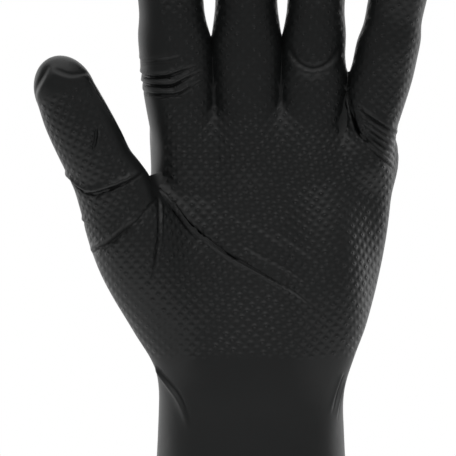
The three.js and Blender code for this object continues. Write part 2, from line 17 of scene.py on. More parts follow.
import bpy
import numpy as np
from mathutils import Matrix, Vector

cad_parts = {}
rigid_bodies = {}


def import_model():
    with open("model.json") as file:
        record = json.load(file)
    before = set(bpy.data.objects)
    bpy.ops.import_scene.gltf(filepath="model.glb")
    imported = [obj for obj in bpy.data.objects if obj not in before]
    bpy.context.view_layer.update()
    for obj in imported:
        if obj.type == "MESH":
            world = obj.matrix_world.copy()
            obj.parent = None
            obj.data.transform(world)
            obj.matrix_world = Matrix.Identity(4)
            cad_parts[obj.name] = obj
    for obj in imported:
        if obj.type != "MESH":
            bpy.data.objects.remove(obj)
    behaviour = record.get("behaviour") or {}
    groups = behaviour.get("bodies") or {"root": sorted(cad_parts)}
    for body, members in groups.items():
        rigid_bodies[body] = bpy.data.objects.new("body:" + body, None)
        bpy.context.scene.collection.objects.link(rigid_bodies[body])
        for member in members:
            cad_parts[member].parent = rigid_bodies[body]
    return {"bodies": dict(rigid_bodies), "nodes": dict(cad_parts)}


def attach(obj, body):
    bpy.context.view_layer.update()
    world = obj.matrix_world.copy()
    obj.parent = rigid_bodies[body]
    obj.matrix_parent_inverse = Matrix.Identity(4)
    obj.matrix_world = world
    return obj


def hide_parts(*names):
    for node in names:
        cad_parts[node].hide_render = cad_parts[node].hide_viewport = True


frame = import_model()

log = logging.getLogger("glove")

Array = np.ndarray
MM = 0.001

# Sizes of the glove
CUFF_LENGTH, CUFF_WIDTH, CUFF_DEPTH = 50.0, 68.0, 50.0
WRIST_WIDTH, WRIST_DEPTH = 62.6, 40.0
PALM_LENGTH, PALM_WIDTH, PALM_DEPTH = 112.0, 84.0, 31.0
BEAD_RADIUS = 1.1
FILM = 0.3

# Welding: cells in a millimetre, and bits of a cell's number along each axis
WELD_CELLS, WELD_BITS = 1000.0, 20

# Cage layout: faces along one side of a finger's ring, and rows up each part
SIDE = 4
RING = 4 * SIDE
FINGER_COUNT = 4
FRONT = FINGER_COUNT * SIDE
COLUMNS = 2 * FRONT + 2 * SIDE
CUFF_RISES, PALM_RISES, FINGER_RISES, THUMB_RISES, CAP_RISES = 9, 19, 12, 8, 4

# Sections: up the cuff as a share of its length, with how far the size has gone to the wrist's
CUFF_ROWS = ((0.0, 0.0), (0.3, 0.5), (0.7, 0.9))
# Sections of the palm: up, then left and right in shares of its width, front and back in shares of
# its depth
PALM_ROWS = (
    (0.09, -0.385, 0.400, -0.62, 0.60),
    (0.18, -0.411, 0.456, -0.56, 0.57),
    (0.30, -0.411, 0.508, -0.49, 0.55),
    (0.45, -0.405, 0.549, -0.42, 0.54),
    (0.60, -0.395, 0.572, -0.39, 0.53),
    (0.72, -0.391, 0.585, -0.37, 0.50),
    (0.82, -0.410, 0.590, -0.36, 0.44),
    (0.95, -0.430, 0.600, -0.34, 0.38),
)
# Sections of a finger and of the thumb: up as a share of the reach, then shares of the width and the depth;
# the thumb's last column is how far the section's middle moves to the web, in half widths
FINGER_ROWS = (
    (-0.50, 0.88, 1.06),
    (-0.20, 1.04, 1.08),
    (0.00, 1.06, 1.08),
    (0.10, 1.05, 1.04),
    (0.22, 0.96, 0.98),
    (0.42, 0.97, 0.98),
    (0.60, 0.90, 0.89),
    (0.74, 0.88, 0.86),
    (0.86, 0.83, 0.78),
)
THUMB_ROWS = (
    (0.00, 1.025, 1.27, 0.00),
    (0.10, 1.020, 1.27, 0.00),
    (0.29, 1.045, 1.20, 0.02),
    (0.42, 1.070, 1.08, 0.09),
    (0.50, 1.060, 1.02, 0.17),
    (0.56, 0.985, 1.00, 0.15),
    (0.62, 0.925, 0.98, 0.08),
    (0.70, 0.930, 0.95, 0.05),
    (0.79, 0.900, 0.88, 0.01),
    (0.87, 0.830, 0.80, 0.00),
)


@dataclass(frozen=True)
class FingerSize:
    """Size and stance of one finger's stall, in millimetres and degrees."""

    name: str
    reach: float
    width: float
    depth: float
    lean: float
    curl: float
    across: float
    press: tuple[float, float]


# The last pair is how much fuller the root is on its left and right, where it presses on the next finger
FINGERS = (
    FingerSize("index", 64.0, 23.2, 21.0, -5.0, 13.0, -0.305, (0.0, 0.9)),
    FingerSize("middle", 78.0, 22.0, 22.0, -0.5, 11.0, -0.017, (0.9, 0.9)),
    FingerSize("ring", 69.0, 20.4, 20.5, 3.0, 14.0, 0.252, (0.9, 1.5)),
    FingerSize("little", 49.0, 20.5, 18.5, 11.5, 12.0, 0.546, (1.5, 0.0)),
)


@dataclass(frozen=True)
class Pad:
    """A swelling of the hand: centre and half sizes in shares of the palm's width, depth and length."""

    centre: tuple[float, float, float]
    half: tuple[float, float, float]


PADS = (
    Pad((-0.28, -0.19, 0.32), (0.17, 0.37, 0.19)),
    Pad((0.29, -0.24, 0.30), (0.15, 0.36, 0.27)),
    Pad((-0.44, -0.26, 0.46), (0.15, 0.40, 0.14)),
    Pad((-0.28, 0.26, 0.77), (0.09, 0.25, 0.08)),
    Pad((-0.02, 0.32, 0.79), (0.09, 0.25, 0.08)),
    Pad((0.24, 0.29, 0.76), (0.09, 0.24, 0.08)),
    Pad((0.48, 0.20, 0.68), (0.08, 0.22, 0.07)),
)


def palm_z(up: float | Array) -> float | Array:
    """Height of a share of the palm's length above the wrist."""
    return CUFF_LENGTH + up * PALM_LENGTH


def mix(a: float | Array, b: float | Array, share: float | Array) -> float | Array:
    """Goes straight from a to b as the share goes from 0 to 1."""
    return a + (b - a) * share


def ease(share: float | Array) -> Array:
    """Smooth step from 0 to 1 as the share does the same."""
    s = np.clip(share, 0.0, 1.0)
    return s * s * (3.0 - 2.0 * s)


def blend(a: Array, b: Array, radius: float | Array) -> Array:
    """Smooth minimum: the smaller distance, less their squared closeness times a quarter of the radius."""
    near = np.maximum(radius - np.abs(a - b), 0.0) / radius
    return np.minimum(a, b) - near * near * radius / 4.0


class Curve:
    """A smooth function through a table of values, cubic between its rows and flat beyond its ends."""

    def __init__(self, at: Sequence[float], values: Sequence[Sequence[float]]) -> None:
        """Keeps the table and a slope at each row, from the rows on both sides of it."""
        self.at = np.asarray(at, float)
        self.values = np.asarray(values, float)
        last = len(self.at) - 1
        behind = np.maximum(np.arange(last + 1) - 1, 0)
        ahead = np.minimum(np.arange(last + 1) + 1, last)
        gap = (self.at[ahead] - self.at[behind])[:, None]
        self.slopes = (self.values[ahead] - self.values[behind]) / gap

    def __call__(self, where: Array) -> Array:
        """Returns one row of values for each place, by the cubic Hermite formula."""
        w = np.clip(where, self.at[0], self.at[-1])
        i = np.clip(np.searchsorted(self.at, w, side="right") - 1, 0, len(self.at) - 2)
        span = self.at[i + 1] - self.at[i]
        t = ((w - self.at[i]) / span)[..., None]
        t2, t3, span = t * t, t * t * t, span[..., None]
        return (
            (2 * t3 - 3 * t2 + 1) * self.values[i]
            + (t3 - 2 * t2 + t) * span * self.slopes[i]
            + (3 * t2 - 2 * t3) * self.values[i + 1]
            + (t3 - t2) * span * self.slopes[i + 1]
        )


def section_distance(
    x: Array, y: Array, past: Array, a: Array, b: Array, cap: Array, power: float | Array = 2.0
) -> Array:
    """First-order distance to a rounded tube.

    With q the power mean of |x| / a, |y| / b and past, the distance is q - 1 over the length of q's slope.

    Args:
        x: Distance from the axis across the tube.
        y: Distance from the axis through the tube.
        past: How far the point lies past the tube's end, as a share of the end's dome.
        a: Half width of the section.
        b: Half depth of the section.
        cap: Height of the dome.
        power: 2 for an ellipse, more for a squarer section.

    Returns:
        The signed distance, negative inside.
    """
    shares = np.stack([np.abs(x) / a, np.abs(y) / b, np.maximum(past, 0.0)])
    sizes = np.stack([np.broadcast_to(size, shares.shape[1:]) for size in (a, b, cap)])
    q = np.maximum((shares**power).sum(0), 1e-9) ** (1.0 / power)
    slope = np.sqrt((((shares / q) ** (power - 1.0) / sizes) ** 2).sum(0))
    return (q - 1.0) / np.maximum(slope, 1.0 / np.maximum(a, b))


class Body:
    """The cuff, the wrist and the palm as one upright tube that closes in a crest between the fingers."""

    POWER = 2.3
    CROWN, CREST_MIDDLE, CREST_FALL, CREST_LEAST = 0.73, -0.024, 0.62, 0.82
    FRONT_CROWN, FRONT_DROP, FRONT_TURN = 0.70, 12.0, (0.4, 0.6)

    def __init__(self) -> None:
        """Makes the table of the four edges against height."""
        at = [up * CUFF_LENGTH for up, _ in CUFF_ROWS] + [CUFF_LENGTH]
        edges = []
        for _, tight in (*CUFF_ROWS, (1.0, 1.0)):
            width = mix(CUFF_WIDTH, WRIST_WIDTH, tight) / 2
            depth = mix(CUFF_DEPTH, WRIST_DEPTH, tight) / 2
            edges.append((-width, width, -depth, depth))
        for up, left, right, front, back in PALM_ROWS:
            at.append(palm_z(up))
            edges.append((left * PALM_WIDTH, right * PALM_WIDTH, front * PALM_DEPTH, back * PALM_DEPTH))
        self.edges = Curve(at, edges)

    def section(self, z: Array) -> tuple[Array, Array, Array, Array]:
        """Centre and half sizes of the section at each height.

        Args:
            z: The heights.

        Returns:
            Centre across, centre deep, half width and half depth.
        """
        left, right, front, back = np.moveaxis(self.edges(z), -1, 0)
        return (left + right) / 2, (front + back) / 2, (right - left) / 2, (back - front) / 2

    @classmethod
    def crest(cls, x: float | Array) -> Array:
        """Height at which the palm ends between the fingers; it falls with the square of x."""
        share = 1.0 - cls.CREST_FALL * (x / PALM_WIDTH - cls.CREST_MIDDLE) ** 2
        return palm_z(np.maximum(share, cls.CREST_LEAST))

    def distance(self, p: Array) -> Array:
        """Signed distance to the tube, whose dome is lower and steeper in front than behind.

        Args:
            p: The points, in millimetres.

        Returns:
            The distance of each point, negative inside.
        """
        x, y, a, b = self.section(p[..., 2])
        low, high = self.FRONT_TURN
        front = ease(((y - p[..., 1]) / b + low) / high)
        crest = self.crest(p[..., 0])
        crown = palm_z(self.CROWN)
        front_crown = np.minimum(palm_z(self.FRONT_CROWN), crest - 2.0 * self.FRONT_DROP)
        crown, crest = mix(crown, front_crown, front), crest - self.FRONT_DROP * front
        past = (p[..., 2] - crown) / (crest - crown)
        return section_distance(p[..., 0] - x, p[..., 1] - y, past, a, b, crest - crown, self.POWER)


class Finger:
    """One finger's stall: a leaning tube with level sections, which bends forward towards its tip."""

    ROOT, TIP, CURL_RATE = 34.0, 0.5, 0.5
    POWER, PRESS_OVER, PRESS_RAMP = 2.4, 12.0, 12.0

    def __init__(self, size: FingerSize) -> None:
        """Works out the heights and the table of sections."""
        self.size = size
        self.x = size.across * PALM_WIDTH
        self.slope = math.tan(math.radians(size.lean))
        self.rise = size.reach * math.cos(math.radians(size.lean))
        self.cap = self.TIP * size.width
        self.tip_z = palm_z(1.0) + self.rise
        self.dome_z = self.tip_z - self.cap
        rows = [
            (palm_z(1.0) + up * self.rise, wide * size.width / 2, deep * size.depth / 2)
            for up, wide, deep in FINGER_ROWS
        ]
        self.table = Curve([row[0] for row in rows], [row[1:] for row in rows])
        self.tops = [Body.crest(self.x + side * size.width / 2) + self.PRESS_OVER for side in (-1.0, 1.0)]

    def section(self, z: Array) -> tuple[Array, Array, Array, Array]:
        """Centre and half sizes of the section at each height, fuller where it presses on the next.

        Args:
            z: The heights.

        Returns:
            Centre across, centre deep, half width and half depth.
        """
        left, right = (p * ease((top - z) / self.PRESS_RAMP) for p, top in zip(self.size.press, self.tops))
        x = self.x + self.slope * (z - palm_z(1.0)) + (right - left) / 2
        bend = np.maximum((z - palm_z(Body.CROWN)) / self.rise, 0.0) ** 2
        a, b = np.moveaxis(self.table(z), -1, 0)
        return x, -self.CURL_RATE * self.size.curl * bend, a + (left + right) / 2, b

    def distance(self, p: Array) -> Array:
        """Signed distance to the stall, by the tube's formula with a dome at both ends.

        Args:
            p: The points, in millimetres.

        Returns:
            The distance of each point, negative inside.
        """
        z = p[..., 2]
        x, y, a, b = self.section(z)
        past = np.maximum(z - self.dome_z, palm_z(1.0) - self.ROOT - z) / self.cap
        power = mix(2.0, self.POWER, ease((self.tops[1] - z) / self.PRESS_RAMP))
        return section_distance(p[..., 0] - x, p[..., 1] - y, past, a, b, self.cap, power)

    def chart(self, p: Array) -> Array:
        """Flattens the stall: turn about its middle line, in mean radii, and height."""
        x, y, a, b = self.section(p[..., 2])
        turn = np.arctan2((p[..., 1] - y) / b, (p[..., 0] - x) / a)
        return np.stack([turn * self.size.width / 2, p[..., 2]], -1)


class Thumb:
    """The thumb's stall and the ball of the thumb: a tube along its own slanted axis."""

    REACH, WIDTH, DEPTH, LEAN, FORWARD = 101.0, 24.4, 22.0, 23.0, 9.0
    ROOT = (-0.336, -0.26, 0.1625)
    HEEL, HEEL_CAP, TIP = 0.27, 0.34, 0.875

    def __init__(self) -> None:
        """Works out the axis, the directions across it and the table of sections."""
        lean, forward = math.radians(self.LEAN), math.radians(self.FORWARD)
        axis = np.array([-math.sin(lean), -math.tan(forward), math.cos(lean)])
        self.axis = axis / np.linalg.norm(axis)
        self.side = np.array([math.cos(lean), 0.0, math.sin(lean)])
        self.back = np.cross(self.axis, self.side)
        self.root = np.array([self.ROOT[0] * PALM_WIDTH, self.ROOT[1] * PALM_DEPTH, palm_z(self.ROOT[2])])
        self.dome, self.cap = self.TIP * self.REACH, (1.0 - self.TIP) * self.REACH
        self.heel, self.heel_cap = self.HEEL * self.REACH, self.HEEL_CAP * self.REACH
        half, depth = self.WIDTH / 2, self.DEPTH / 2
        rows = [
            (up * self.REACH, wide * half, deep * depth, shift * half)
            for up, wide, deep, shift in THUMB_ROWS
        ]
        self.table = Curve([row[0] for row in rows], [row[1:] for row in rows])

    def local(self, p: Array) -> tuple[Array, Array, Array]:
        """Turns places into the thumb's own: products with its three directions.

        Args:
            p: The points, in millimetres.

        Returns:
            Distances across, through and along the thumb.
        """
        d = p - self.root
        t = d @ self.axis
        return d @ self.side - self.table(t)[..., 2], d @ self.back, t

    def world(self, u: Array, v: Array, t: Array) -> Array:
        """Turns the thumb's own places into points.

        Args:
            u: Distances across.
            v: Distances through.
            t: Distances along.

        Returns:
            The points.
        """
        across = u + self.table(t)[..., 2]
        return (
            self.root
            + np.multiply.outer(across, self.side)
            + np.multiply.outer(v, self.back)
            + np.multiply.outer(t, self.axis)
        )

    def half(self, t: Array) -> tuple[Array, Array]:
        """Half width and half depth at each distance along the thumb."""
        a, b, _ = np.moveaxis(self.table(t), -1, 0)
        return a, b

    def distance(self, p: Array) -> Array:
        """Signed distance to the tube, with a dome at the tip and another at the heel.

        Args:
            p: The points, in millimetres.

        Returns:
            The distance of each point, negative inside.
        """
        u, v, t = self.local(p)
        a, b = self.half(t)
        past = np.maximum((t - self.dome) / self.cap, (self.heel - t) / self.heel_cap)
        return section_distance(u, v, past, a, b, np.where(t > self.heel, self.cap, self.heel_cap))

    def chart(self, p: Array) -> Array:
        """Flattens the thumb: turn about its axis, in mean radii, and distance along it."""
        u, v, t = self.local(p)
        a, b = self.half(t)
        return np.stack([np.arctan2(v / b, u / a) * self.WIDTH / 2, t], -1)


class GloveField:
    """Signed distance to the whole glove's outer surface, in millimetres, for arrays of points."""

    PALM_BLEND, FINGER_BLEND, PAD_BLEND, THUMB_BLEND, WEB_BLEND = 7.0, 0.5, 9.0, 10.0, 1.2
    WEB_TOP, WEB_RAMP = 0.625, 0.17
    CROTCH_BLEND, CROTCH_TOP, CROTCH_RAMP = 1.5, 0.90, 0.36
    PROBE = 0.1
    HALVINGS, WALK, STRIDE = 18, 90, 0.8

    def __init__(self) -> None:
        """Makes the tubes."""
        self.body = Body()
        self.fingers = [Finger(size) for size in FINGERS]
        self.thumb = Thumb()

    def pad_distance(self, pad: Pad, p: Array) -> Array:
        """Signed distance to a pad, an ellipsoid.

        Args:
            pad: The pad.
            p: The points, in millimetres.

        Returns:
            The distance of each point, negative inside.
        """
        unit = np.array([PALM_WIDTH, PALM_DEPTH, PALM_LENGTH])
        a, b, c = np.array(pad.half) * unit
        d = p - np.array(pad.centre) * unit - np.array([0.0, 0.0, CUFF_LENGTH])
        return section_distance(d[..., 0], d[..., 1], np.abs(d[..., 2]) / c, a, b, c)

    def distance(self, p: Array) -> Array:
        """Signed distance to the glove: the smooth minimum of its tubes and pads.

        Args:
            p: The points, in millimetres.

        Returns:
            The distance of each point, negative inside.
        """
        palm = self.body.distance(p)
        for pad in PADS:
            palm = blend(palm, self.pad_distance(pad, p), self.PAD_BLEND)
        group = self.fingers[0].distance(p)
        for finger in self.fingers[1:]:
            group = blend(group, finger.distance(p), self.FINGER_BLEND)
        low = ease((palm_z(self.WEB_TOP) - p[..., 2]) / (self.WEB_RAMP * PALM_LENGTH))
        under = ease((palm_z(self.CROTCH_TOP) - p[..., 2]) / (self.CROTCH_RAMP * PALM_LENGTH))
        hand = blend(palm, group, mix(self.CROTCH_BLEND, self.PALM_BLEND, under))
        return blend(hand, self.thumb.distance(p), mix(self.WEB_BLEND, self.THUMB_BLEND, low))

    def gradient(self, p: Array) -> Array:
        """Slope of the distance at each point, from the difference of two probes along each axis."""
        steps = np.eye(3) * self.PROBE
        slopes = [(self.distance(p + s) - self.distance(p - s)) / (2 * self.PROBE) for s in steps]
        return np.stack(slopes, -1)

    def normal(self, p: Array) -> Array:
        """Outward direction at each point."""
        slope = self.gradient(p)
        return slope / np.maximum(np.linalg.norm(slope, axis=-1, keepdims=True), 1e-9)

    def draw_on(self, p: Array, steps: int, level: Array | None = None) -> Array:
        """Moves points onto the surface: each step goes back along the slope by distance over slope squared.

        Args:
            p: The points.
            steps: How many steps are taken.
            level: True for the points that keep their height.

        Returns:
            The moved points.
        """
        for _ in range(steps):
            slope = self.gradient(p)
            if level is not None:
                slope[level, 2] = 0.0
            p = p - slope * (self.distance(p) / np.maximum((slope * slope).sum(-1), 0.1))[..., None]
        return p

    def valley(self, p: Array) -> Array:
        """Moves points near the fingers' gaps to the bottom of the groove on their own side of the hand.

        A groove lies where two fingers are equally far, which is found by halving; its bottom is found by
        walking in from outside.

        Args:
            p: Points near the gaps.

        Returns:
            The moved points.
        """
        q = p.copy()
        centres = np.stack([finger.section(q[:, 2])[0] for finger in self.fingers])
        gap = np.abs((centres[1:] + centres[:-1]) / 2 - q[:, 0]).argmin(0)[None]
        left, right = (np.take_along_axis(centres, gap + k, 0)[0] for k in (0, 1))
        for _ in range(self.HALVINGS):
            q[:, 0] = (left + right) / 2
            each = np.stack([finger.distance(q) for finger in self.fingers])
            near_left, near_right = (np.take_along_axis(each, gap + k, 0)[0] for k in (0, 1))
            left = np.where(near_left < near_right, q[:, 0], left)
            right = np.where(near_left < near_right, right, q[:, 0])
        side = np.where(p[:, 1] < 0, -1.0, 1.0)
        far = np.full(len(p), CUFF_DEPTH / 2)
        for _ in range(self.WALK):
            q[:, 1] = side * far
            far = np.maximum(far - self.STRIDE * np.maximum(self.distance(q), 0.0), 0.0)
        return q


def weld_numbers(places: Array) -> tuple[Array, Array]:
    """Numbers places so that those within a thousandth of a millimetre share a number.

    Args:
        places: Rows of three coordinates.

    Returns:
        The first row that has each number, and each row's number.
    """
    cell = np.round(places * WELD_CELLS).astype(np.int64) + (1 << (WELD_BITS - 1))
    key = (cell[:, 0] << (2 * WELD_BITS)) | (cell[:, 1] << WELD_BITS) | cell[:, 2]
    _, first, number = np.unique(key, return_index=True, return_inverse=True)
    return first, number.ravel()


def weld(corners: Array) -> tuple[Array, Array]:
    """Joins corners that lie together, and returns the points and each corner's number."""
    flat = corners.reshape(-1, 3)
    first, number = weld_numbers(flat)
    return flat[first], number.reshape(corners.shape[:-1])


@dataclass
class Cage:
    """Four-sided faces over shared points. A face with a doubled corner is a triangle at a tip."""

    points: Array
    faces: Array
    mouth_z: float
    held: Array = field(default_factory=lambda: np.zeros(0, int))

    def on_mouth(self) -> Array:
        """True for the points of the ring at the cuff's mouth."""
        return np.abs(self.points[:, 2] - self.mouth_z) < 1e-6

    def edges(self) -> Array:
        """Each pair of neighbouring points once."""
        pairs = np.stack([self.faces, np.roll(self.faces, -1, 1)], -1).reshape(-1, 2)
        pairs = np.sort(pairs[pairs[:, 0] != pairs[:, 1]], 1)
        return np.unique(pairs, axis=0)

    def relax(self, glove: GloveField, steps: int) -> None:
        """Spreads the points: each goes halfway to its neighbours' mean and back onto the surface.

        Args:
            glove: The field that holds the surface.
            steps: How often the points are moved.
        """
        edges = self.edges()
        count = len(self.points)
        near = np.bincount(edges.ravel(), minlength=count)[:, None]
        level = self.on_mouth()
        for _ in range(steps):
            p = self.points
            total = np.zeros_like(p)
            for axis in range(3):
                for here, there in (edges.T, edges.T[::-1]):
                    total[:, axis] += np.bincount(here, weights=p[there, axis], minlength=count)
            moved = mix(p, total / near, 0.5)
            moved[level, 2] = self.mouth_z
            moved = glove.draw_on(moved, 1, level)
            moved[self.held] = p[self.held]
            self.points = moved

    def divided(self, glove: GloveField) -> "Cage":
        """Splits each face into four at the middles of its edges; one between held points is held too.

        Args:
            glove: The field that holds the surface.

        Returns:
            The finer cage.
        """
        corner = self.points[self.faces]
        middle = (corner + np.roll(corner, -1, 1)) / 2.0
        centre = corner.mean(1, keepdims=True).repeat(4, 1)
        small = np.stack([corner, middle, centre, np.roll(middle, 1, 1)], 2)
        points, faces = weld(small.reshape(-1, 4, 3))
        edges = self.edges()
        joined = edges[np.isin(edges, self.held).all(1)]
        anchors = np.concatenate([self.points[self.held], self.points[joined].mean(1)])
        held = np.array([np.argmin(((points - a) ** 2).sum(1)) for a in anchors], int)
        fresh = held[len(self.held) :]
        points[fresh] = glove.valley(points[fresh])
        return Cage(points, faces, self.mouth_z, held)


class CageMaker:
    """Lays out the first, coarse cage: the body's rows, four fingers on top and the thumb at the left."""

    CORNER, FIRST_ANGLE = (0.86, 0.4), 225.0
    FINGER_START, CROWN_START, HOLE_START = 0.89, 0.68, 0.42
    THUMB_OUTER, THUMB_WEB, THUMB_INWARD = 0.42, 0.5, 0.35
    STRIDE, WALK, SEARCH, DROP = 0.7, 60, 8.0, 0.2
    SUNK_ROWS = 2

    def __init__(self, glove: GloveField) -> None:
        """Works out the ring of angles and the heights of the body's rows."""
        self.glove = glove
        self.m = np.arange(RING)
        self.angle = np.radians(self.FIRST_ANGLE + 360.0 * self.m / RING)
        self.start_z = palm_z(self.FINGER_START)
        cuff = mix(2 * BEAD_RADIUS, CUFF_LENGTH, np.arange(CUFF_RISES) / CUFF_RISES)
        palm = mix(CUFF_LENGTH, self.start_z, np.arange(PALM_RISES + 1) / PALM_RISES)
        self.levels = np.concatenate([cuff, palm])
        rises = self.HOLE_START * PALM_LENGTH * PALM_RISES / (self.start_z - CUFF_LENGTH)
        self.hole_row = CUFF_RISES + round(rises)
        self.held: list[Array] = []
        self.quads: list[Array] = []

    def rest_on_web(self, p: Array) -> Array:
        """Lowers a point in a gap until it meets the web at the bottom, and holds it.

        Args:
            p: The point.

        Returns:
            The lowered point.
        """
        p = p + np.array([0.0, 0.0, self.SEARCH])
        for _ in range(round(4 * self.SEARCH / self.DROP)):
            if self.glove.distance(p) <= 0:
                break
            p[2] -= self.DROP
        self.held.append(p)
        return p

    def add(self, grid: Array, skip: Array | None = None) -> None:
        """Adds the faces of a grid of points that closes on itself along its rows.

        Args:
            grid: Rows of points.
            skip: True for the faces left out.
        """
        ahead = np.roll(grid, -1, 1)
        quads = np.stack([grid[:-1], ahead[:-1], ahead[1:], grid[1:]], 2)
        self.quads.append(quads[~skip] if skip is not None else quads.reshape(-1, 4, 3))

    def finger_rows(self, f: int, up: Array) -> Array:
        """Rings of a finger, whose lowest rows climb over the crotches.

        Args:
            f: Number of the finger.
            up: Shares of its height.

        Returns:
            The rings' points.
        """
        finger, m = self.glove.fingers[f], self.m
        on_side = np.where(m % (2 * SIDE) > SIDE, np.sin(np.pi * (m % SIDE) / SIDE), 0.0)
        leftward = m > 2 * SIDE
        between = np.where(leftward, f > 0, f < FINGER_COUNT - 1)
        other = np.clip(np.where(leftward, f - 1, f + 1), 0, FINGER_COUNT - 1)
        across = np.array([size.across for size in FINGERS])
        gap_x = (across[f] + across[other]) / 2 * PALM_WIDTH
        start = np.where(between, mix(self.start_z, self.glove.body.crest(gap_x), on_side), self.start_z)
        z = mix(start[None], finger.dome_z, np.asarray(up)[:, None])
        x, y, a, b = finger.section(z)
        return np.stack([x + a * np.cos(self.angle), y + b * np.sin(self.angle), z], -1)

    def feet(self) -> Array:
        """The lowest rings of all the fingers, shared where two fingers meet.

        Returns:
            One ring for each finger.
        """
        own = np.concatenate([self.finger_rows(f, np.zeros(1)) for f in range(FINGER_COUNT)])
        feet = own.copy()
        for f in range(FINGER_COUNT - 1):
            right, left = np.arange(SIDE, 2 * SIDE + 1), (5 * SIDE - np.arange(SIDE, 2 * SIDE + 1)) % RING
            shared = (own[f, right] + own[f + 1, left]) / 2
            ends = np.arange(SIDE + 1) != SIDE // 2
            shared[ends] = self.glove.valley(shared[ends])
            self.held.extend(shared[ends])
            shared[SIDE // 2] = self.rest_on_web(shared[SIDE // 2])
            feet[f, right] = feet[f + 1, left] = shared
        return feet

    def cap_share(self) -> tuple[Array, Array]:
        """Height and ring size up a dome: the sine and cosine of a quarter turn.

        Returns:
            Both as shares.
        """
        turn = np.linspace(0.0, np.pi / 2, CAP_RISES + 1)[:, None]
        ring = np.cos(turn)
        ring[-1] = 0.0
        return np.sin(turn), ring

    def add_fingers(self, feet: Array) -> None:
        """Adds the four stalls and their tips.

        Args:
            feet: The fingers' lowest rings.
        """
        lift, ring = self.cap_share()
        for f, finger in enumerate(self.glove.fingers):
            rows = self.finger_rows(f, np.arange(FINGER_RISES + 1) / FINGER_RISES)
            rows[0] = feet[f]
            z = finger.dome_z + finger.cap * lift
            x, y, _, _ = finger.section(z)
            _, _, a, b = finger.section(np.full_like(z, finger.dome_z))
            across, through = a * ring * np.cos(self.angle), b * ring * np.sin(self.angle)
            tip = np.stack([x + across, y + through, z + 0 * self.angle], -1)
            tip[0] = rows[-1]
            self.add(rows)
            self.add(tip)

    def body_top(self, feet: Array) -> Array:
        """The points of the fingers' lowest rings that stand over the body's columns.

        Args:
            feet: The fingers' lowest rings.

        Returns:
            One point for each column.
        """
        c = np.arange(COLUMNS)
        f = np.minimum(c // SIDE, FINGER_COUNT - 1)
        m = c - SIDE * f
        right = (c > FRONT) & (c <= FRONT + SIDE)
        f, m = np.where(right, FINGER_COUNT - 1, f), np.where(right, c - FRONT + SIDE, m)
        along = c - FRONT - SIDE
        back_f = FINGER_COUNT - 1 - np.clip(along // SIDE, 0, FINGER_COUNT - 1)
        back = (along > 0) & (c < 2 * FRONT + SIDE)
        f = np.where(back, back_f, f)
        m = np.where(back, 2 * SIDE + along - SIDE * (FINGER_COUNT - 1 - back_f), m)
        left = c >= 2 * FRONT + SIDE
        return feet[np.where(left, 0, f), np.where(left, c - 2 * FRONT + 2 * SIDE, m) % RING]

    def body_rows(self, feet: Array) -> Array:
        """Rings of the body, walked level from the section's middle out to the surface.

        Args:
            feet: The fingers' lowest rings.

        Returns:
            The rings' points.
        """
        c = np.arange(COLUMNS)
        cx, cy = self.CORNER
        places = [0, FRONT, FRONT + SIDE, 2 * FRONT + SIDE, COLUMNS]
        u = np.interp(c, places, [-cx, cx, cx, -cx, -cx])
        v = np.interp(c, places, [-cy, -cy, cy, cy, -cy])
        u = np.where((c > FRONT) & (c < FRONT + SIDE), 1.0, np.where(c > 2 * FRONT + SIDE, -1.0, u))
        v = np.where(c <= FRONT, -1.0, np.where((c >= FRONT + SIDE) & (c <= 2 * FRONT + SIDE), 1.0, v))
        z = self.levels[:, None] + 0.0 * c
        x, y, a, b = self.glove.body.section(z)
        way = np.stack([u * a, v * b, 0 * z], -1)
        way /= np.linalg.norm(way, axis=-1, keepdims=True)
        p = np.stack([x, y, z], -1)
        for _ in range(self.WALK):
            p = p + way * np.maximum(-self.STRIDE * self.glove.distance(p), 0.0)[..., None]
        crown = palm_z(self.CROWN_START)
        near = ease((z - crown) / (self.start_z - crown))[..., None]
        rows = mix(p, self.body_top(feet)[None], near)
        front = SIDE * np.arange(1, FINGER_COUNT)
        for column in (*front, *(front + FRONT + SIDE)):
            sunk = self.glove.valley(rows[-1 - self.SUNK_ROWS : -1, column])
            rows[-1 - self.SUNK_ROWS : -1, column] = sunk
            self.held.extend(sunk)
        return rows

    def thumb_rows(self, up: Array) -> Array:
        """Rings of the thumb, the lowest slanted so that it reaches up into the web.

        Args:
            up: Shares of its length.

        Returns:
            The rings' points.
        """
        thumb = self.glove.thumb
        facing = (1.0 + np.cos(self.angle)) / 2
        start = mix(self.THUMB_OUTER, self.THUMB_WEB, facing) * thumb.REACH
        t = mix(start[None], thumb.dome, np.asarray(up)[:, None])
        a, b = thumb.half(t)
        return thumb.world(a * np.cos(self.angle), b * np.sin(self.angle), t)

    def thumb_foot(self) -> Array:
        """The thumb's lowest ring, with its middle point at the bottom of the web.

        Returns:
            The ring's points.
        """
        foot = self.thumb_rows(np.zeros(1))[0]
        web = foot[3 * SIDE // 2]
        left = self.glove.body.edges(web[2:3])[0, 0]
        _, y, _, _ = self.glove.body.section(web[2:3])
        inward = mix(web, np.array([left, y[0], web[2]]), self.THUMB_INWARD)
        foot[3 * SIDE // 2] = self.rest_on_web(inward)
        return foot

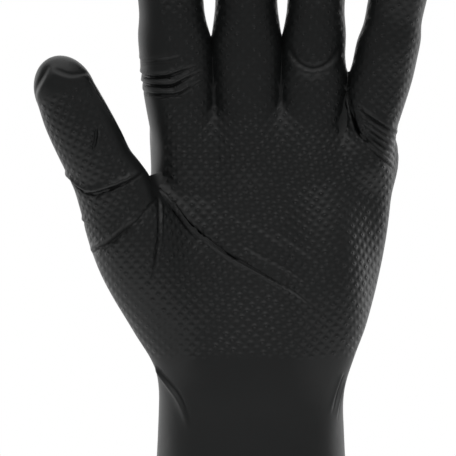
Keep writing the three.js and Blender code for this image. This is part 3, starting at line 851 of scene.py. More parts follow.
    def add_body_and_thumb(self, feet: Array) -> None:
        """Adds the body's rows with the thumb's opening, and the thumb with its tip.

        Args:
            feet: The fingers' lowest rings.
        """
        body, foot = self.body_rows(feet), self.thumb_foot()
        row, column, s = self.hole_row, 2 * FRONT + SIDE, np.arange(SIDE + 1)
        body[row + s, 0] = foot[s]
        body[row + SIDE, (column + SIDE - s) % COLUMNS] = foot[SIDE + s]
        body[row + SIDE - s, column] = foot[2 * SIDE + s]
        body[row, (column + s) % COLUMNS] = foot[(3 * SIDE + s) % RING]
        skip = np.zeros((len(self.levels) - 1, COLUMNS), bool)
        skip[row : row + SIDE, column:] = True
        self.add(body, skip)
        rows = self.thumb_rows(np.arange(THUMB_RISES + 1) / THUMB_RISES)
        rows[0] = foot
        lift, ring = self.cap_share()
        thumb = self.glove.thumb
        a, b = thumb.half(np.array([thumb.dome]))
        t = thumb.dome + thumb.cap * lift + 0 * self.angle
        tip = thumb.world(a * ring * np.cos(self.angle), b * ring * np.sin(self.angle), t)
        tip[0] = rows[-1]
        self.add(rows)
        self.add(tip)

    def make(self) -> Cage:
        """Adds all the parts and welds them.

        Returns:
            The coarse cage.
        """
        feet = self.feet()
        self.add_fingers(feet)
        self.add_body_and_thumb(feet)
        points, faces = weld(np.concatenate(self.quads))
        held = np.array([np.argmin(((points - p) ** 2).sum(1)) for p in self.held], int)
        return Cage(points, faces, float(self.levels[0]), held)


class Chart(Enum):
    """How the places of a fold are counted: on the palm's front, or around and up a stall."""

    FRONT = "front"
    THUMB = "thumb"
    INDEX = 0
    RING = 2


@dataclass(frozen=True)
class Fold:
    """A gather of the film: a ridge along a path, with a steeper flank and a groove on one side.

    Each row of the path holds two places and the share of the height there. On the front they run across
    and up in millimetres. Around the thumb they are a turn in degrees, with 0 at the right and -90 in
    front, and a share of the reach; around a finger they are a turn and a height in millimetres. The side
    is 1 for the right of the path and -1 for its left, as seen from outside. Folds that overlap have
    layers of their own, so that the material can draw their lines apart: a painted highlight on a crest,
    painted shade in a groove.
    """

    chart: Chart
    rows: tuple[tuple[float, float, float], ...]
    height: float
    width: float
    groove: float = 0.0
    side: int = 1
    sharp: bool = True
    layer: int = 0


# How the pleats of a row vary: the mean share, how far it swings, and the turn from one to the next
PLEAT_MEAN, PLEAT_SWING, PLEAT_TURN = 0.8, 0.2, 2.4


def pleats(
    first: Sequence, last: Sequence, count: int, height: float, width: float, groove: float
) -> list[Fold]:
    """Lays several folds side by side on the front, each path a mix of the first and the last one.

    Args:
        first: Rows of the first fold's path.
        last: Rows of the last fold's path, as many.
        count: How many folds there are.
        height: Height of the ridges before they vary.
        width: Width of each ridge.
        groove: Depth of the grooves before they vary.

    Returns:
        The folds in order.
    """
    low, high = np.asarray(first, float), np.asarray(last, float)
    folds = []
    for k in range(count):
        rows = mix(low, high, k / (count - 1))
        vary = PLEAT_MEAN + PLEAT_SWING * math.cos(PLEAT_TURN * k)
        folds.append(Fold(Chart.FRONT, tuple(map(tuple, rows)), height * vary, width, groove * vary))
    return folds


FOLDS = (
    # The long fold from the thumb's web across the palm, and its neighbours
    Fold(
        Chart.FRONT,
        (
            (-31.4, 116.8, 0.0), (-30.5, 115.6, 0.5), (-28.3, 112.9, 1.0), (-25.5, 109.8, 1.0),
            (-21.8, 104.8, 1.0), (-18.5, 101.6, 0.95), (-13.0, 96.9, 0.9), (-7.7, 93.2, 0.75),
            (-1.4, 89.6, 0.6), (5.1, 86.0, 0.45), (12.9, 81.6, 0.3), (19.0, 77.0, 0.12),
            (24.0, 72.5, 0.0),
        ),
        height=1.0, width=0.65, groove=0.9, side=-1,
    ),
    Fold(
        Chart.FRONT,
        (
            (-30.8, 115.3, 0.0), (-30.1, 114.2, 0.5), (-28.9, 112.4, 1.0), (-25.8, 108.6, 1.0),
            (-21.7, 103.2, 0.7), (-17.0, 98.0, 0.0),
        ),
        height=-0.8, width=0.6, layer=2,
    ),
    Fold(
        Chart.FRONT,
        (
            (-27.0, 123.0, 0.0), (-24.5, 118.0, 0.8), (-20.5, 112.5, 1.0), (-14.5, 107.0, 0.6),
            (-8.0, 101.0, 0.0),
        ),
        height=0.8, width=3.0, sharp=False,
    ),
    Fold(
        Chart.FRONT,
        (
            (-32.3, 114.8, 0.0), (-31.2, 112.6, 0.6), (-30.9, 108.6, 1.0), (-30.9, 104.3, 1.0),
            (-31.3, 97.9, 1.0), (-32.6, 90.1, 0.7), (-34.4, 83.2, 0.0),
        ),
        height=-0.45, width=0.8, layer=1,
    ),
    Fold(
        Chart.FRONT,
        (
            (-31.2, 114.4, 0.0), (-30.2, 112.4, 0.5), (-29.9, 108.6, 1.0), (-29.9, 104.3, 1.0),
            (-30.3, 97.9, 0.9), (-31.7, 90.1, 0.5), (-33.4, 83.2, 0.0),
        ),
        height=0.35, width=0.6, groove=0.1, side=-1, layer=2,
    ),
    Fold(
        Chart.FRONT,
        (
            (-12.0, 107.0, 0.0), (-1.7, 102.6, 1.0), (6.8, 98.6, 1.0), (17.3, 93.1, 0.8),
            (24.4, 88.0, 0.0),
        ),
        height=0.45, width=2.4, groove=0.1, side=-1, sharp=False,
    ),
    Fold(
        Chart.FRONT,
        (
            (-6.0, 97.5, 0.0), (2.0, 93.3, 1.0), (12.0, 87.5, 0.8), (20.0, 82.5, 0.0),
        ),
        height=0.22, width=1.1, groove=0.1, side=-1, layer=1,
    ),
    # The film's overlaps around the thumb
    Fold(
        Chart.THUMB,
        (
            (-215.0, 0.63, 0.0), (-185.0, 0.622, 0.8), (-163.0, 0.611, 1.0), (-147.0, 0.58, 1.0),
            (-126.0, 0.551, 0.9), (-98.0, 0.544, 0.9), (-72.0, 0.541, 0.8), (-48.0, 0.54, 0.6),
            (-21.0, 0.544, 0.0),
        ),
        height=0.8, width=0.9, groove=0.6,
    ),
    Fold(
        Chart.THUMB,
        (
            (-190.0, 0.345, 0.0), (-159.0, 0.364, 1.0), (-123.0, 0.381, 0.9), (-97.0, 0.4, 0.8),
            (-74.0, 0.412, 0.6), (-47.0, 0.434, 0.4), (0.0, 0.445, 0.0),
        ),
        height=0.6, width=0.9, groove=0.5,
    ),
    Fold(
        Chart.THUMB,
        (
            (-195.0, 0.455, 0.0), (-170.0, 0.46, 1.0), (-150.0, 0.45, 0.6), (-120.0, 0.445, 0.0),
        ),
        height=0.5, width=0.9, groove=0.3,
    ),
    # Spare film pinched at the thumb's tip
    Fold(
        Chart.THUMB,
        (
            (-162.0, 0.885, 0.0), (-150.0, 0.905, 0.8), (-123.0, 0.937, 1.0), (-99.0, 0.965, 0.8),
            (-86.0, 0.98, 0.0),
        ),
        height=0.4, width=1.8, groove=0.3, side=-1,
    ),
    Fold(
        Chart.THUMB,
        (
            (-103.0, 0.962, 0.0), (-90.0, 0.947, 0.8), (-68.0, 0.918, 1.0), (-45.0, 0.905, 1.0),
            (-25.0, 0.897, 0.5), (-12.0, 0.89, 0.0),
        ),
        height=0.3, width=1.2, groove=0.2, side=-1, layer=1,
    ),
    Fold(
        Chart.THUMB,
        (
            (-32.0, 0.885, 0.0), (-25.0, 0.86, 0.8), (-29.0, 0.82, 1.0), (-23.0, 0.76, 1.0),
            (-13.0, 0.7, 0.8), (-2.0, 0.64, 0.4), (6.0, 0.6, 0.0),
        ),
        height=0.4, width=0.8, groove=0.3, side=-1, layer=2,
    ),
    Fold(
        Chart.THUMB,
        (
            (-60.0, 0.735, 0.0), (-66.0, 0.715, 0.9), (-75.0, 0.69, 1.0), (-88.0, 0.662, 0.0),
        ),
        height=0.2, width=0.7, groove=0.8,
    ),
    # The film gathered around the index finger's base
    Fold(
        Chart.INDEX,
        (
            (-215.0, 158.0, 0.0), (-160.0, 155.8, 0.9), (-135.0, 155.0, 1.0), (-110.0, 155.0, 1.0),
            (-89.0, 156.4, 0.8), (-60.0, 159.0, 0.0),
        ),
        height=0.5, width=0.8, groove=0.55,
    ),
    Fold(
        Chart.INDEX,
        (
            (-205.0, 154.0, 0.0), (-156.0, 152.9, 0.9), (-130.0, 152.1, 1.0), (-103.0, 151.9, 1.0),
            (-82.0, 154.0, 0.8), (-50.0, 157.5, 0.0),
        ),
        height=0.5, width=0.8, groove=0.55,
    ),
    Fold(
        Chart.INDEX,
        (
            (-195.0, 151.0, 0.0), (-156.0, 149.8, 0.7), (-126.0, 149.0, 1.0), (-96.0, 149.0, 0.9),
            (-71.0, 151.8, 0.5), (-48.0, 155.0, 0.0),
        ),
        height=0.45, width=0.8, groove=0.5,
    ),
    Fold(
        Chart.INDEX,
        (
            (-200.0, 162.5, 0.0), (-150.0, 160.0, 1.0), (-110.0, 160.5, 0.9), (-80.0, 162.0, 0.0),
        ),
        height=0.25, width=0.8, groove=0.2,
    ),
    # A sagging crease under the ring finger
    Fold(
        Chart.RING,
        (
            (-150.0, 163.5, 0.0), (-133.0, 160.2, 0.7), (-112.0, 156.6, 1.0), (-90.0, 155.2, 1.0),
            (-68.0, 156.4, 1.0), (-45.0, 159.8, 0.7), (-25.0, 163.5, 0.0),
        ),
        height=0.4, width=1.5, groove=0.35, side=-1,
    ),
    # The groove that runs from the little finger's crotch down the palm's edge
    Fold(
        Chart.FRONT,
        (
            (32.1, 150.0, 0.0), (32.3, 148.4, 0.6), (32.7, 146.0, 1.0), (33.5, 142.8, 1.0),
            (34.7, 138.6, 1.0), (36.4, 135.0, 1.0), (39.2, 132.4, 0.6), (42.5, 130.2, 0.0),
        ),
        height=-1.3, width=0.8,
    ),
    # Pleats of the wrist
    Fold(
        Chart.FRONT,
        (
            (-32.4, 57.0, 0.0), (-31.5, 54.7, 0.9), (-29.9, 52.3, 1.0), (-27.5, 49.3, 1.0),
            (-24.8, 45.5, 0.9), (-22.5, 40.0, 0.4), (-21.5, 35.0, 0.0),
        ),
        height=0.9, width=1.1, groove=0.2, side=-1,
    ),
    Fold(
        Chart.FRONT,
        (
            (31.2, 54.5, 0.0), (30.0, 52.0, 1.0), (28.0, 46.0, 0.8), (26.5, 40.0, 0.0),
        ),
        height=0.35, width=0.8, groove=0.2, side=-1,
    ),
    Fold(
        Chart.FRONT,
        (
            (32.2, 52.5, 0.0), (31.4, 50.0, 1.0), (29.8, 44.0, 0.8), (28.6, 38.0, 0.0),
        ),
        height=0.35, width=0.8, groove=0.2, side=-1, layer=1,
    ),
    *pleats(
        (
            (36.0, 145.0, 0.0), (38.5, 142.6, 0.8), (43.5, 139.2, 1.0), (49.0, 136.0, 0.6),
            (52.5, 133.6, 0.0),
        ),
        (
            (40.0, 131.5, 0.0), (42.0, 129.6, 0.7), (45.0, 127.0, 1.0), (48.2, 124.2, 0.6),
            (50.8, 121.4, 0.0),
        ),
        count=6, height=0.5, width=0.75, groove=0.4,
    ),
)


class Relief:
    """The folds as heights over the film, for points near the surface."""

    WALK, STRIDE, SETTLE = 80, 0.7, 4
    STEP, LEAST_PLACES = 0.5, 8
    REACH, FACING = 3.4, 0.15
    BESIDE, NARROW, STEEP = 1.3, 0.6, 0.62
    SPLIT_MIDDLE, SPLIT_REACH, SPLIT_LEAST = 0.5, 2.0, 0.05
    LAYERS, MIDDLE, SPAN, FADE = 3, 0.65, 1.9, 0.5
    FULL_CREST, FULL_GROOVE = 1.2, 0.75

    def __init__(self, glove: GloveField, folds: Sequence[Fold]) -> None:
        """Puts each fold's path on the surface."""
        self.glove = glove
        self.folds = folds
        self.tracks = [self.track(fold) for fold in folds]

    def from_front(self, x: Array, z: Array) -> Array:
        """Walks in from the palm's side to the surface, no further than the hand's middle.

        Args:
            x: Places across.
            z: Heights.

        Returns:
            Points on the surface.
        """
        p = np.stack([x, np.full_like(x, -CUFF_DEPTH), z], -1)
        for _ in range(self.WALK):
            p[:, 1] = np.minimum(p[:, 1] + self.STRIDE * np.maximum(self.glove.distance(p), 0.0), 0.0)
        return self.glove.draw_on(p, self.SETTLE)

    def place(self, chart: Chart, first: Array, second: Array) -> Array:
        """Finds points on the surface for places in a chart.

        Args:
            chart: The chart.
            first: Its first values.
            second: Its second values.

        Returns:
            The points.
        """
        if chart is Chart.FRONT:
            return self.from_front(first, second)
        turn = np.radians(first)
        if chart is Chart.THUMB:
            thumb = self.glove.thumb
            t = second * thumb.REACH
            a, b = thumb.half(np.minimum(t, thumb.dome))
            ring = np.sqrt(np.clip(1.0 - np.maximum((t - thumb.dome) / thumb.cap, 0.0) ** 2, 0.01, 1.0))
            p = thumb.world(a * ring * np.cos(turn), b * ring * np.sin(turn), t)
        else:
            x, y, a, b = self.glove.fingers[chart.value].section(second)
            p = np.stack([x + a * np.cos(turn), y + b * np.sin(turn), second], -1)
        return self.glove.draw_on(p, self.SETTLE)

    def track(self, fold: Fold) -> tuple[Array, Array, Array, Array, Array]:
        """Follows a fold's path over the surface in short even steps.

        Args:
            fold: The fold.

        Returns:
            Places, directions ahead, to the right and outwards, and shares of the height.
        """
        rows = np.asarray(fold.rows, float)
        knots = self.place(fold.chart, rows[:, 0], rows[:, 1])
        gone = np.concatenate([[0.0], np.cumsum(np.linalg.norm(np.diff(knots, axis=0), axis=1))])
        count = max(self.LEAST_PLACES, round(gone[-1] / self.STEP))
        at = Curve(gone, rows)(np.linspace(0.0, gone[-1], count))
        p = self.place(fold.chart, at[:, 0], at[:, 1])
        ahead = np.gradient(p, axis=0)
        ahead /= np.linalg.norm(ahead, axis=1, keepdims=True)
        out = self.glove.normal(p)
        right = np.cross(ahead, out)
        right /= np.linalg.norm(right, axis=1, keepdims=True)
        return p, ahead, right, out, np.clip(at[:, 2], 0.0, 1.0)

    def near(self, number: int, p: Array, out: Array) -> tuple[Array, Array, Array]:
        """Finds the points beside a fold, from the nearest place of its track.

        Args:
            number: Number of the fold.
            p: The points, in millimetres.
            out: Their outward directions.

        Returns:
            Which points they are, how far to its right, and the fold's share of height there.
        """
        fold = self.folds[number]
        place, ahead, right, facing, share = self.tracks[number]
        reach = self.REACH * fold.width
        inside = np.all((p > place.min(0) - reach) & (p < place.max(0) + reach), axis=1)
        index = np.flatnonzero(inside)
        if len(index) == 0:
            return index, np.zeros(0), np.zeros(0)
        gap = ((p[index, None] - place[None]) ** 2).sum(-1)
        k = gap.argmin(1)
        close = (gap[np.arange(len(k)), k] < reach * reach) & ((out[index] * facing[k]).sum(1) > self.FACING)
        index, k = index[close], k[close]
        offset = p[index] - place[k]
        along = (offset * ahead[k]).sum(1)
        step = np.where(along > 0, 1, -1)
        other = np.clip(k + step, 0, len(place) - 1)
        span = np.maximum(np.linalg.norm(place[other] - place[k], axis=1), 1e-6)
        here = mix(share[k], share[other], np.clip(np.abs(along) / span, 0.0, 1.0))
        return index, (offset * right[k]).sum(1), here

    def heights(self, p: Array, out: Array) -> Array:
        """Sums the folds: a ridge exp(-(s/w)^2) and such a groove beside it, scaled by the share.

        Args:
            p: Points near the surface.
            out: Their outward directions.

        Returns:
            The height over the film at each point, in millimetres.
        """
        total = np.zeros(len(p))
        for number, fold in enumerate(self.folds):
            index, s, share = self.near(number, p, out)
            s = s * fold.side
            wide = fold.width * np.where(s > 0, self.STEEP, 1.0)
            beside = (s - self.BESIDE * fold.width) / (self.NARROW * fold.width)
            ridge, dip = fold.height * np.exp(-((s / wide) ** 2)), fold.groove * np.exp(-(beside**2))
            total[index] += share * (ridge - dip)
        return total

    def lines(self, p: Array, out: Array) -> tuple[Array, Array, Array]:
        """Values for the fine lines that the material draws along the folds, one column for each layer.

        Args:
            p: Points near the surface.
            out: Their outward directions.

        Returns:
            How many widths a point lies across the fold, with the crest at 0 and the groove at BESIDE; how
            strong the crest is there, for a painted highlight; how strong the groove is, for painted shade
            and a dip in the bump.
        """
        across, crest, groove = (np.zeros((len(p), self.LAYERS)) for _ in range(3))
        best = np.zeros((len(p), self.LAYERS))
        for number, fold in enumerate(self.folds):
            if not fold.sharp:
                continue
            index, s, share = self.near(number, p, out)
            place = s * fold.side / fold.width + (self.BESIDE if fold.height < 0.0 else 0.0)
            strength = share * ease((self.SPAN - np.abs(place - self.MIDDLE)) / self.FADE)
            taken = strength > best[index, fold.layer]
            index, place, strength = index[taken], place[taken], strength[taken]
            best[index, fold.layer] = strength
            across[index, fold.layer] = place
            crest[index, fold.layer] = strength * min(max(fold.height, 0.0) / self.FULL_CREST, 1.0)
            depth = max(fold.groove, -fold.height)
            groove[index, fold.layer] = strength * min(depth / self.FULL_GROOVE, 1.0)
        return across, crest, groove

    def sharp(self, p: Array, out: Array) -> Array:
        """Finds the points close enough to a narrow fold to need small faces.

        Args:
            p: The points, in millimetres.
            out: Their outward directions.

        Returns:
            True for those points.
        """
        found = np.zeros(len(p), bool)
        for number, fold in enumerate(self.folds):
            if fold.sharp:
                index, s, share = self.near(number, p, out)
                off = np.abs(s - self.SPLIT_MIDDLE * fold.side * fold.width)
                close = (off < self.SPLIT_REACH * fold.width) & (share > self.SPLIT_LEAST)
                found[index[close]] = True
        return found


class GripChart:
    """Flat coordinates for the moulded pattern, and how far each point lies inside its borders."""

    SOLVER_STEPS = 400
    LEAN, LEAN_FROM, LEAN_OVER, LEAN_RANGE = 9.5, -29.0, 51.0, (-0.55, 1.15)
    FINGER_LEAN_AT, FINGER_FROM, FINGER_RAMP = (-25.6, -1.4, 21.0, 46.0), 138.0, 24.0
    THUMB_BLEND, THUMB_FROM, THUMB_RAMP = 12.0, 0.38, 0.16
    PATTERN_BOTTOM = 58.4
    STRIP_X, WEB_Z, WEB_SLOPE = -30.0, 113.0, 2.2
    THUMB_STRIP, THUMB_HASTE, TIP_BARE = 9.0, 2.0, 10.0

    def __init__(self, glove: GloveField) -> None:
        """Keeps the field."""
        self.glove = glove

    def thumb_share(self, p: Array) -> Array:
        """How far each point belongs to the thumb: nearer to its tube than to the hand's, and up its stall.

        Args:
            p: The points, in millimetres.

        Returns:
            1 on the thumb's stall, 0 on the hand.
        """
        hand = self.glove.body.distance(p)
        for finger in self.glove.fingers:
            hand = np.minimum(hand, finger.distance(p))
        thumb = self.glove.thumb
        _, _, t = thumb.local(p)
        closer = ease(0.5 + (hand - thumb.distance(p)) / self.THUMB_BLEND)
        return closer * ease((t / thumb.REACH - self.THUMB_FROM) / self.THUMB_RAMP)

    def ways(self, p: Array, out: Array, thumb: Array) -> tuple[Array, Array]:
        """Directions on the film along the pattern, which lean with the fingers and the thumb.

        Args:
            p: The points, in millimetres.
            out: Their outward directions.
            thumb: How far each belongs to the thumb.

        Returns:
            Unit directions along the rows and up the columns.
        """
        palm = self.LEAN * np.clip((p[:, 0] - self.LEAN_FROM) / self.LEAN_OVER, *self.LEAN_RANGE)
        finger = -np.interp(p[:, 0], self.FINGER_LEAN_AT, [f.size.lean for f in self.glove.fingers])
        lean = np.radians(mix(palm, finger, ease((p[:, 2] - self.FINGER_FROM) / self.FINGER_RAMP)))
        flat = np.zeros(len(p))
        across = np.stack([np.cos(lean), flat, np.sin(lean)], -1)
        up = np.stack([-np.sin(lean), flat, np.cos(lean)], -1)
        across = mix(across, self.glove.thumb.side, thumb[:, None])
        up = mix(up, self.glove.thumb.axis, thumb[:, None])
        ways = []
        for way in (across, up):
            way = way - (way * out).sum(1, keepdims=True) * out
            ways.append(way / np.maximum(np.linalg.norm(way, axis=1, keepdims=True), 1e-6))
        return ways[0], ways[1]

    def flatten(self, p: Array, edges: Array, way: Array, start: Array) -> Array:
        """Finds the values whose differences along the edges best match the steps along a direction field.

        The least squares are solved by conjugate gradients.

        Args:
            p: The points.
            edges: Pairs of neighbours.
            way: The direction at each point.
            start: A first guess.

        Returns:
            One value for each point, in millimetres.
        """
        i, j = edges.T
        count = len(p)
        goal = ((p[j] - p[i]) * (way[i] + way[j])).sum(1) / 2.0

        def spread(value: Array) -> Array:
            """Sums the edge values into their ends, with opposite signs."""
            return np.bincount(j, value, count) - np.bincount(i, value, count)

        x = start.copy()
        rest = spread(goal - (x[j] - x[i]))
        step = rest.copy()
        size = rest @ rest
        for _ in range(self.SOLVER_STEPS):
            pushed = spread(step[j] - step[i])
            share = size / max(step @ pushed, 1e-12)
            x += share * step
            rest -= share * pushed
            new = rest @ rest
            step = rest + new / max(size, 1e-12) * step
            size = new
        return x

    def inside(self, p: Array, thumb: Array) -> Array:
        """How far inside the pattern each point lies: the least of its distances to the borders.

        Args:
            p: The points, in millimetres.
            thumb: How far each belongs to the thumb.

        Returns:
            Millimetres, negative on the bare film.
        """
        x, z = p[:, 0], p[:, 2]
        u, _, t = self.glove.thumb.local(p)
        slope = self.glove.fingers[0].slope
        strip = x - self.STRIP_X - slope * np.maximum(z - palm_z(1.0), 0.0)
        side = mix(strip, self.THUMB_STRIP - u, np.minimum(self.THUMB_HASTE * thumb, 1.0))
        side = side + self.WEB_SLOPE * np.maximum(self.WEB_Z - z, 0.0)
        tips = np.array([finger.tip_z for finger in self.glove.fingers])
        nearest = np.interp(x, self.FINGER_LEAN_AT, tips)
        top = mix(nearest - self.TIP_BARE - z, self.glove.thumb.REACH - self.TIP_BARE - t, thumb)
        return np.minimum(np.minimum(side, top), z - self.PATTERN_BOTTOM)

    def columns(self, cage: Cage) -> Array:
        """Works out the pattern's values for each point of a cage.

        Args:
            cage: The cage.

        Returns:
            Its two flat coordinates and the distance inside its border.
        """
        p = cage.points
        out = self.glove.normal(p)
        thumb = self.thumb_share(p)
        across, up = self.ways(p, out, thumb)
        edges = cage.edges()
        u = self.flatten(p, edges, across, p[:, 0])
        v = self.flatten(p, edges, up, p[:, 2])
        return np.stack([u, v, self.inside(p, thumb)], -1)


@dataclass
class Faces:
    """Faces with any number of corners: all the corners in one row, and each face's count."""

    corners: Array
    counts: Array

    @staticmethod
    def of(rows: Array) -> "Faces":
        """Makes faces of rows of corners. Drops -1, and a corner that repeats the one before.

        Args:
            rows: Numbers of points.

        Returns:
            The faces.
        """
        before = np.roll(rows, 1, 1)
        keep = (rows >= 0) & (rows != before)
        return Faces(rows[keep], keep.sum(1))

    def moved(self, by: int) -> "Faces":
        """The same faces over points that start at another number."""
        return Faces(self.corners + by, self.counts)

    @staticmethod
    def joined(parts: Sequence["Faces"]) -> "Faces":
        """All the faces of several parts."""
        return Faces(np.concatenate([f.corners for f in parts]), np.concatenate([f.counts for f in parts]))


class Refiner:
    """Splits some faces of a cage into small ones; their neighbours take up the points on shared edges."""

    PARTS = 4

    def split(self, cage: Cage, columns: Array, marked: Array) -> tuple[Array, Faces]:
        """Splits the marked faces on an even grid, by bilinear weights.

        Args:
            cage: The cage.
            columns: More values of each point, mixed as its place is.
            marked: True for the faces that are split.

        Returns:
            Rows of point and columns, and the faces over them.
        """
        parts = self.PARTS
        rows = np.concatenate([cage.points, columns], 1)
        s, t = np.meshgrid(np.linspace(0, 1, parts + 1), np.linspace(0, 1, parts + 1), indexing="ij")
        weights = np.stack([(1 - s) * (1 - t), s * (1 - t), s * t, (1 - s) * t], -1)
        fine = np.einsum("stc,fck->fstk", weights, rows[cage.faces[marked]])

        whole = cage.faces[~marked]
        ahead = np.roll(whole, -1, 1)
        count = len(cage.points)
        split = cage.faces[marked]
        split_ahead = np.roll(split, -1, 1)
        taken = np.unique(np.minimum(split, split_ahead) * count + np.maximum(split, split_ahead))
        shared = np.isin(np.minimum(whole, ahead) * count + np.maximum(whole, ahead), taken)
        along = np.linspace(0, 1, parts + 1)[:-1, None]
        ring = mix(rows[whole][:, :, None], rows[ahead][:, :, None], along)

        flat = np.concatenate([fine.reshape(-1, rows.shape[1]), ring.reshape(-1, rows.shape[1])])
        first, number = weld_numbers(flat[:, :3])
        grid = number[: fine[..., 0].size].reshape(-1, parts + 1, parts + 1)
        small = np.stack([grid[:, :-1, :-1], grid[:, 1:, :-1], grid[:, 1:, 1:], grid[:, :-1, 1:]], -1)
        around = number[fine[..., 0].size :].reshape(len(whole), 4, parts)
        around[:, :, 1:][~shared] = -1
        faces = [Faces.of(small.reshape(-1, 4)), Faces.of(self.tight(around.reshape(len(whole), -1)))]
        kept = flat[first]
        used = np.zeros(len(kept), bool)
        joined = Faces.joined(faces)
        used[joined.corners] = True
        renumber = np.cumsum(used) - 1
        return kept[used], Faces(renumber[joined.corners], joined.counts)

    @staticmethod
    def tight(rows: Array) -> Array:
        """Moves the corners of each row together, so that only its end holds -1.

        Args:
            rows: Numbers of points, -1 for none.

        Returns:
            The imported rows.
        """
        order = np.argsort(rows < 0, axis=1, kind="stable")
        packed = np.take_along_axis(rows, order, 1)
        first = packed[:, :1]
        return np.where((packed < 0) | ((packed == first) & (np.arange(rows.shape[1]) > 0)), -1, packed)


class Glove:
    """The whole glove: outer film with its folds, rolled bead at the cuff, and inner film."""

    BEAD_PROFILE = (
        (0.3, 2.22),
        (0.8, 2.05),
        (1.12, 1.65),
        (1.2, 1.1),
        (1.05, 0.55),
        (0.65, 0.14),
        (0.15, 0.0),
        (-0.22, 0.22),
        (-0.34, 0.8),
        (-0.3, 1.5),
    )
    # the fold crest and groove values carry the painted highlight on crests and the painted shade in
    # grooves; the groove value also sets a dip in the bump
    ATTRIBUTES = ("grip", "fold_across", "fold_crest_highlight", "fold_groove_shade")
    BARE = 20.0
    RELAX = (40, 10, 3)

    def __init__(self) -> None:
        """Makes the field and the folds."""
        self.field = GloveField()
        self.relief = Relief(self.field, FOLDS)

    def outer(self, cage: Cage) -> tuple[Array, Array, Faces]:
        """Makes the outer film: the cage, finer near sharp folds, with the folds raised on it.

        Args:
            cage: The finest cage.

        Returns:
            Its points, the columns of the pattern and the fold lines, and its faces.
        """
        columns = GripChart(self.field).columns(cage)
        centre = cage.points[cage.faces].mean(1)
        out = self.field.normal(centre)
        whole = np.all(cage.faces != np.roll(cage.faces, 1, 1), axis=1)
        marked = self.relief.sharp(centre, out) & whole
        rows, faces = Refiner().split(cage, columns, marked)
        level = np.abs(rows[:, 2] - cage.mouth_z) < 1e-6
        points = self.field.draw_on(rows[:, :3], 1, level)
        out = self.field.normal(points)
        lines = np.concatenate(self.relief.lines(points, out), 1)
        points = points + out * self.relief.heights(points, out)[:, None]
        log.info("outer film: %d points, %d faces, %d split", len(points), len(faces.counts), marked.sum())
        return points, np.concatenate([rows[:, 3:], lines], 1), faces

    def inner(self, cage: Cage) -> Array:
        """Makes the inner film: the cage moved in by the film, and further where a fold dips.

        Args:
            cage: The middle cage.

        Returns:
            Its points.
        """
        out = self.field.normal(cage.points)
        dip = np.minimum(self.relief.heights(cage.points, out), 0.0)
        points = cage.points + out * (dip - FILM)[:, None]
        points[cage.on_mouth(), 2] = cage.mouth_z
        return points

    def ring(self, points: Array, mouth_z: float) -> Array:
        """Finds the points at the mouth, in order of their angle around it.

        Args:
            points: A film's points.
            mouth_z: Height of the mouth.

        Returns:
            Their numbers.
        """
        at = np.flatnonzero(np.abs(points[:, 2] - mouth_z) < 1e-6)
        return at[np.argsort(np.arctan2(points[at, 1], points[at, 0]))]

    def bead(self, points: Array, ring: Array, count: int, inner_ring: Array) -> tuple[Array, Faces]:
        """Carries the bead's profile around the mouth and joins it to both films.

        Args:
            points: All the points so far.
            ring: The outer film's mouth, in order.
            count: Number of the bead's first point.
            inner_ring: The inner film's mouth, in order, with half as many points.

        Returns:
            The bead's points and faces.
        """
        p = points[ring]
        way = np.roll(p, -1, 0) - np.roll(p, 1, 0)
        out = np.stack([way[:, 1], -way[:, 0]], -1)
        out /= np.linalg.norm(out, axis=1, keepdims=True)
        offset, height = np.array(self.BEAD_PROFILE).T
        rows = np.empty((len(offset), len(ring), 3))
        rows[..., :2] = p[None, :, :2] + offset[:, None, None] * out[None]
        rows[..., 2] = height[:, None]
        grid = np.concatenate([ring[None], count + np.arange(rows[..., 0].size).reshape(len(offset), -1)])
        ahead = np.roll(grid, -1, 1)
        quads = np.stack([grid[1:], ahead[1:], ahead[:-1], grid[:-1]], -1).reshape(-1, 4)
        last = grid[-1]
        start = int(np.argmin(((points[inner_ring[0], :2] - rows[-1, :, :2]) ** 2).sum(1)))
        last = np.roll(last, -start)
        k = np.arange(len(inner_ring))
        after = last[(2 * k + 2) % len(last)]
        closing = np.stack([last[2 * k], inner_ring, np.roll(inner_ring, -1), after, last[2 * k + 1]], -1)
        return rows.reshape(-1, 3), Faces.joined([Faces.of(quads), Faces.of(closing)])

    def build(self, film: "NitrileFilm") -> bpy.types.Object:
        """Builds and dresses the glove.

        Args:
            film: Its finish.

        Returns:
            The glove's object.
        """
        cage = CageMaker(self.field).make()
        coarse, middle, fine = self.RELAX
        cage.relax(self.field, coarse)
        half = cage.divided(self.field)
        half.relax(self.field, middle)
        full = half.divided(self.field)
        full.relax(self.field, fine)
        points, columns, faces = self.outer(full)
        inner = self.inner(half)
        ring = self.ring(points, cage.mouth_z)
        everything = np.concatenate([points, inner])
        inner_ring = self.ring(inner, cage.mouth_z) + len(points)
        bead, bead_faces = self.bead(everything, ring, len(everything), inner_ring)
        everything = np.concatenate([everything, bead])
        inner_faces = Faces.of(half.faces[:, ::-1]).moved(len(points))
        bare = np.zeros((len(everything) - len(points), columns.shape[1]))
        bare[:, 2] = -self.BARE
        columns = np.concatenate([columns, bare]).astype(np.float32)
        all_faces = Faces.joined([faces, inner_faces, bead_faces])
        mesh = make_mesh("glove_film", everything * MM, all_faces)
        for number, name in enumerate(self.ATTRIBUTES):
            values = mesh.attributes.new(name, "FLOAT_VECTOR", "POINT")
            three = columns[:, 3 * number : 3 * number + 3]
            values.data.foreach_set("vector", np.ascontiguousarray(three).ravel())
        mesh.materials.append(film.material())
        piece = bpy.data.objects.new("glove_film", mesh)
        bpy.context.scene.collection.objects.link(piece)
        log.info("glove: %d points, %d triangles", len(everything), (all_faces.counts - 2).sum())
        return piece


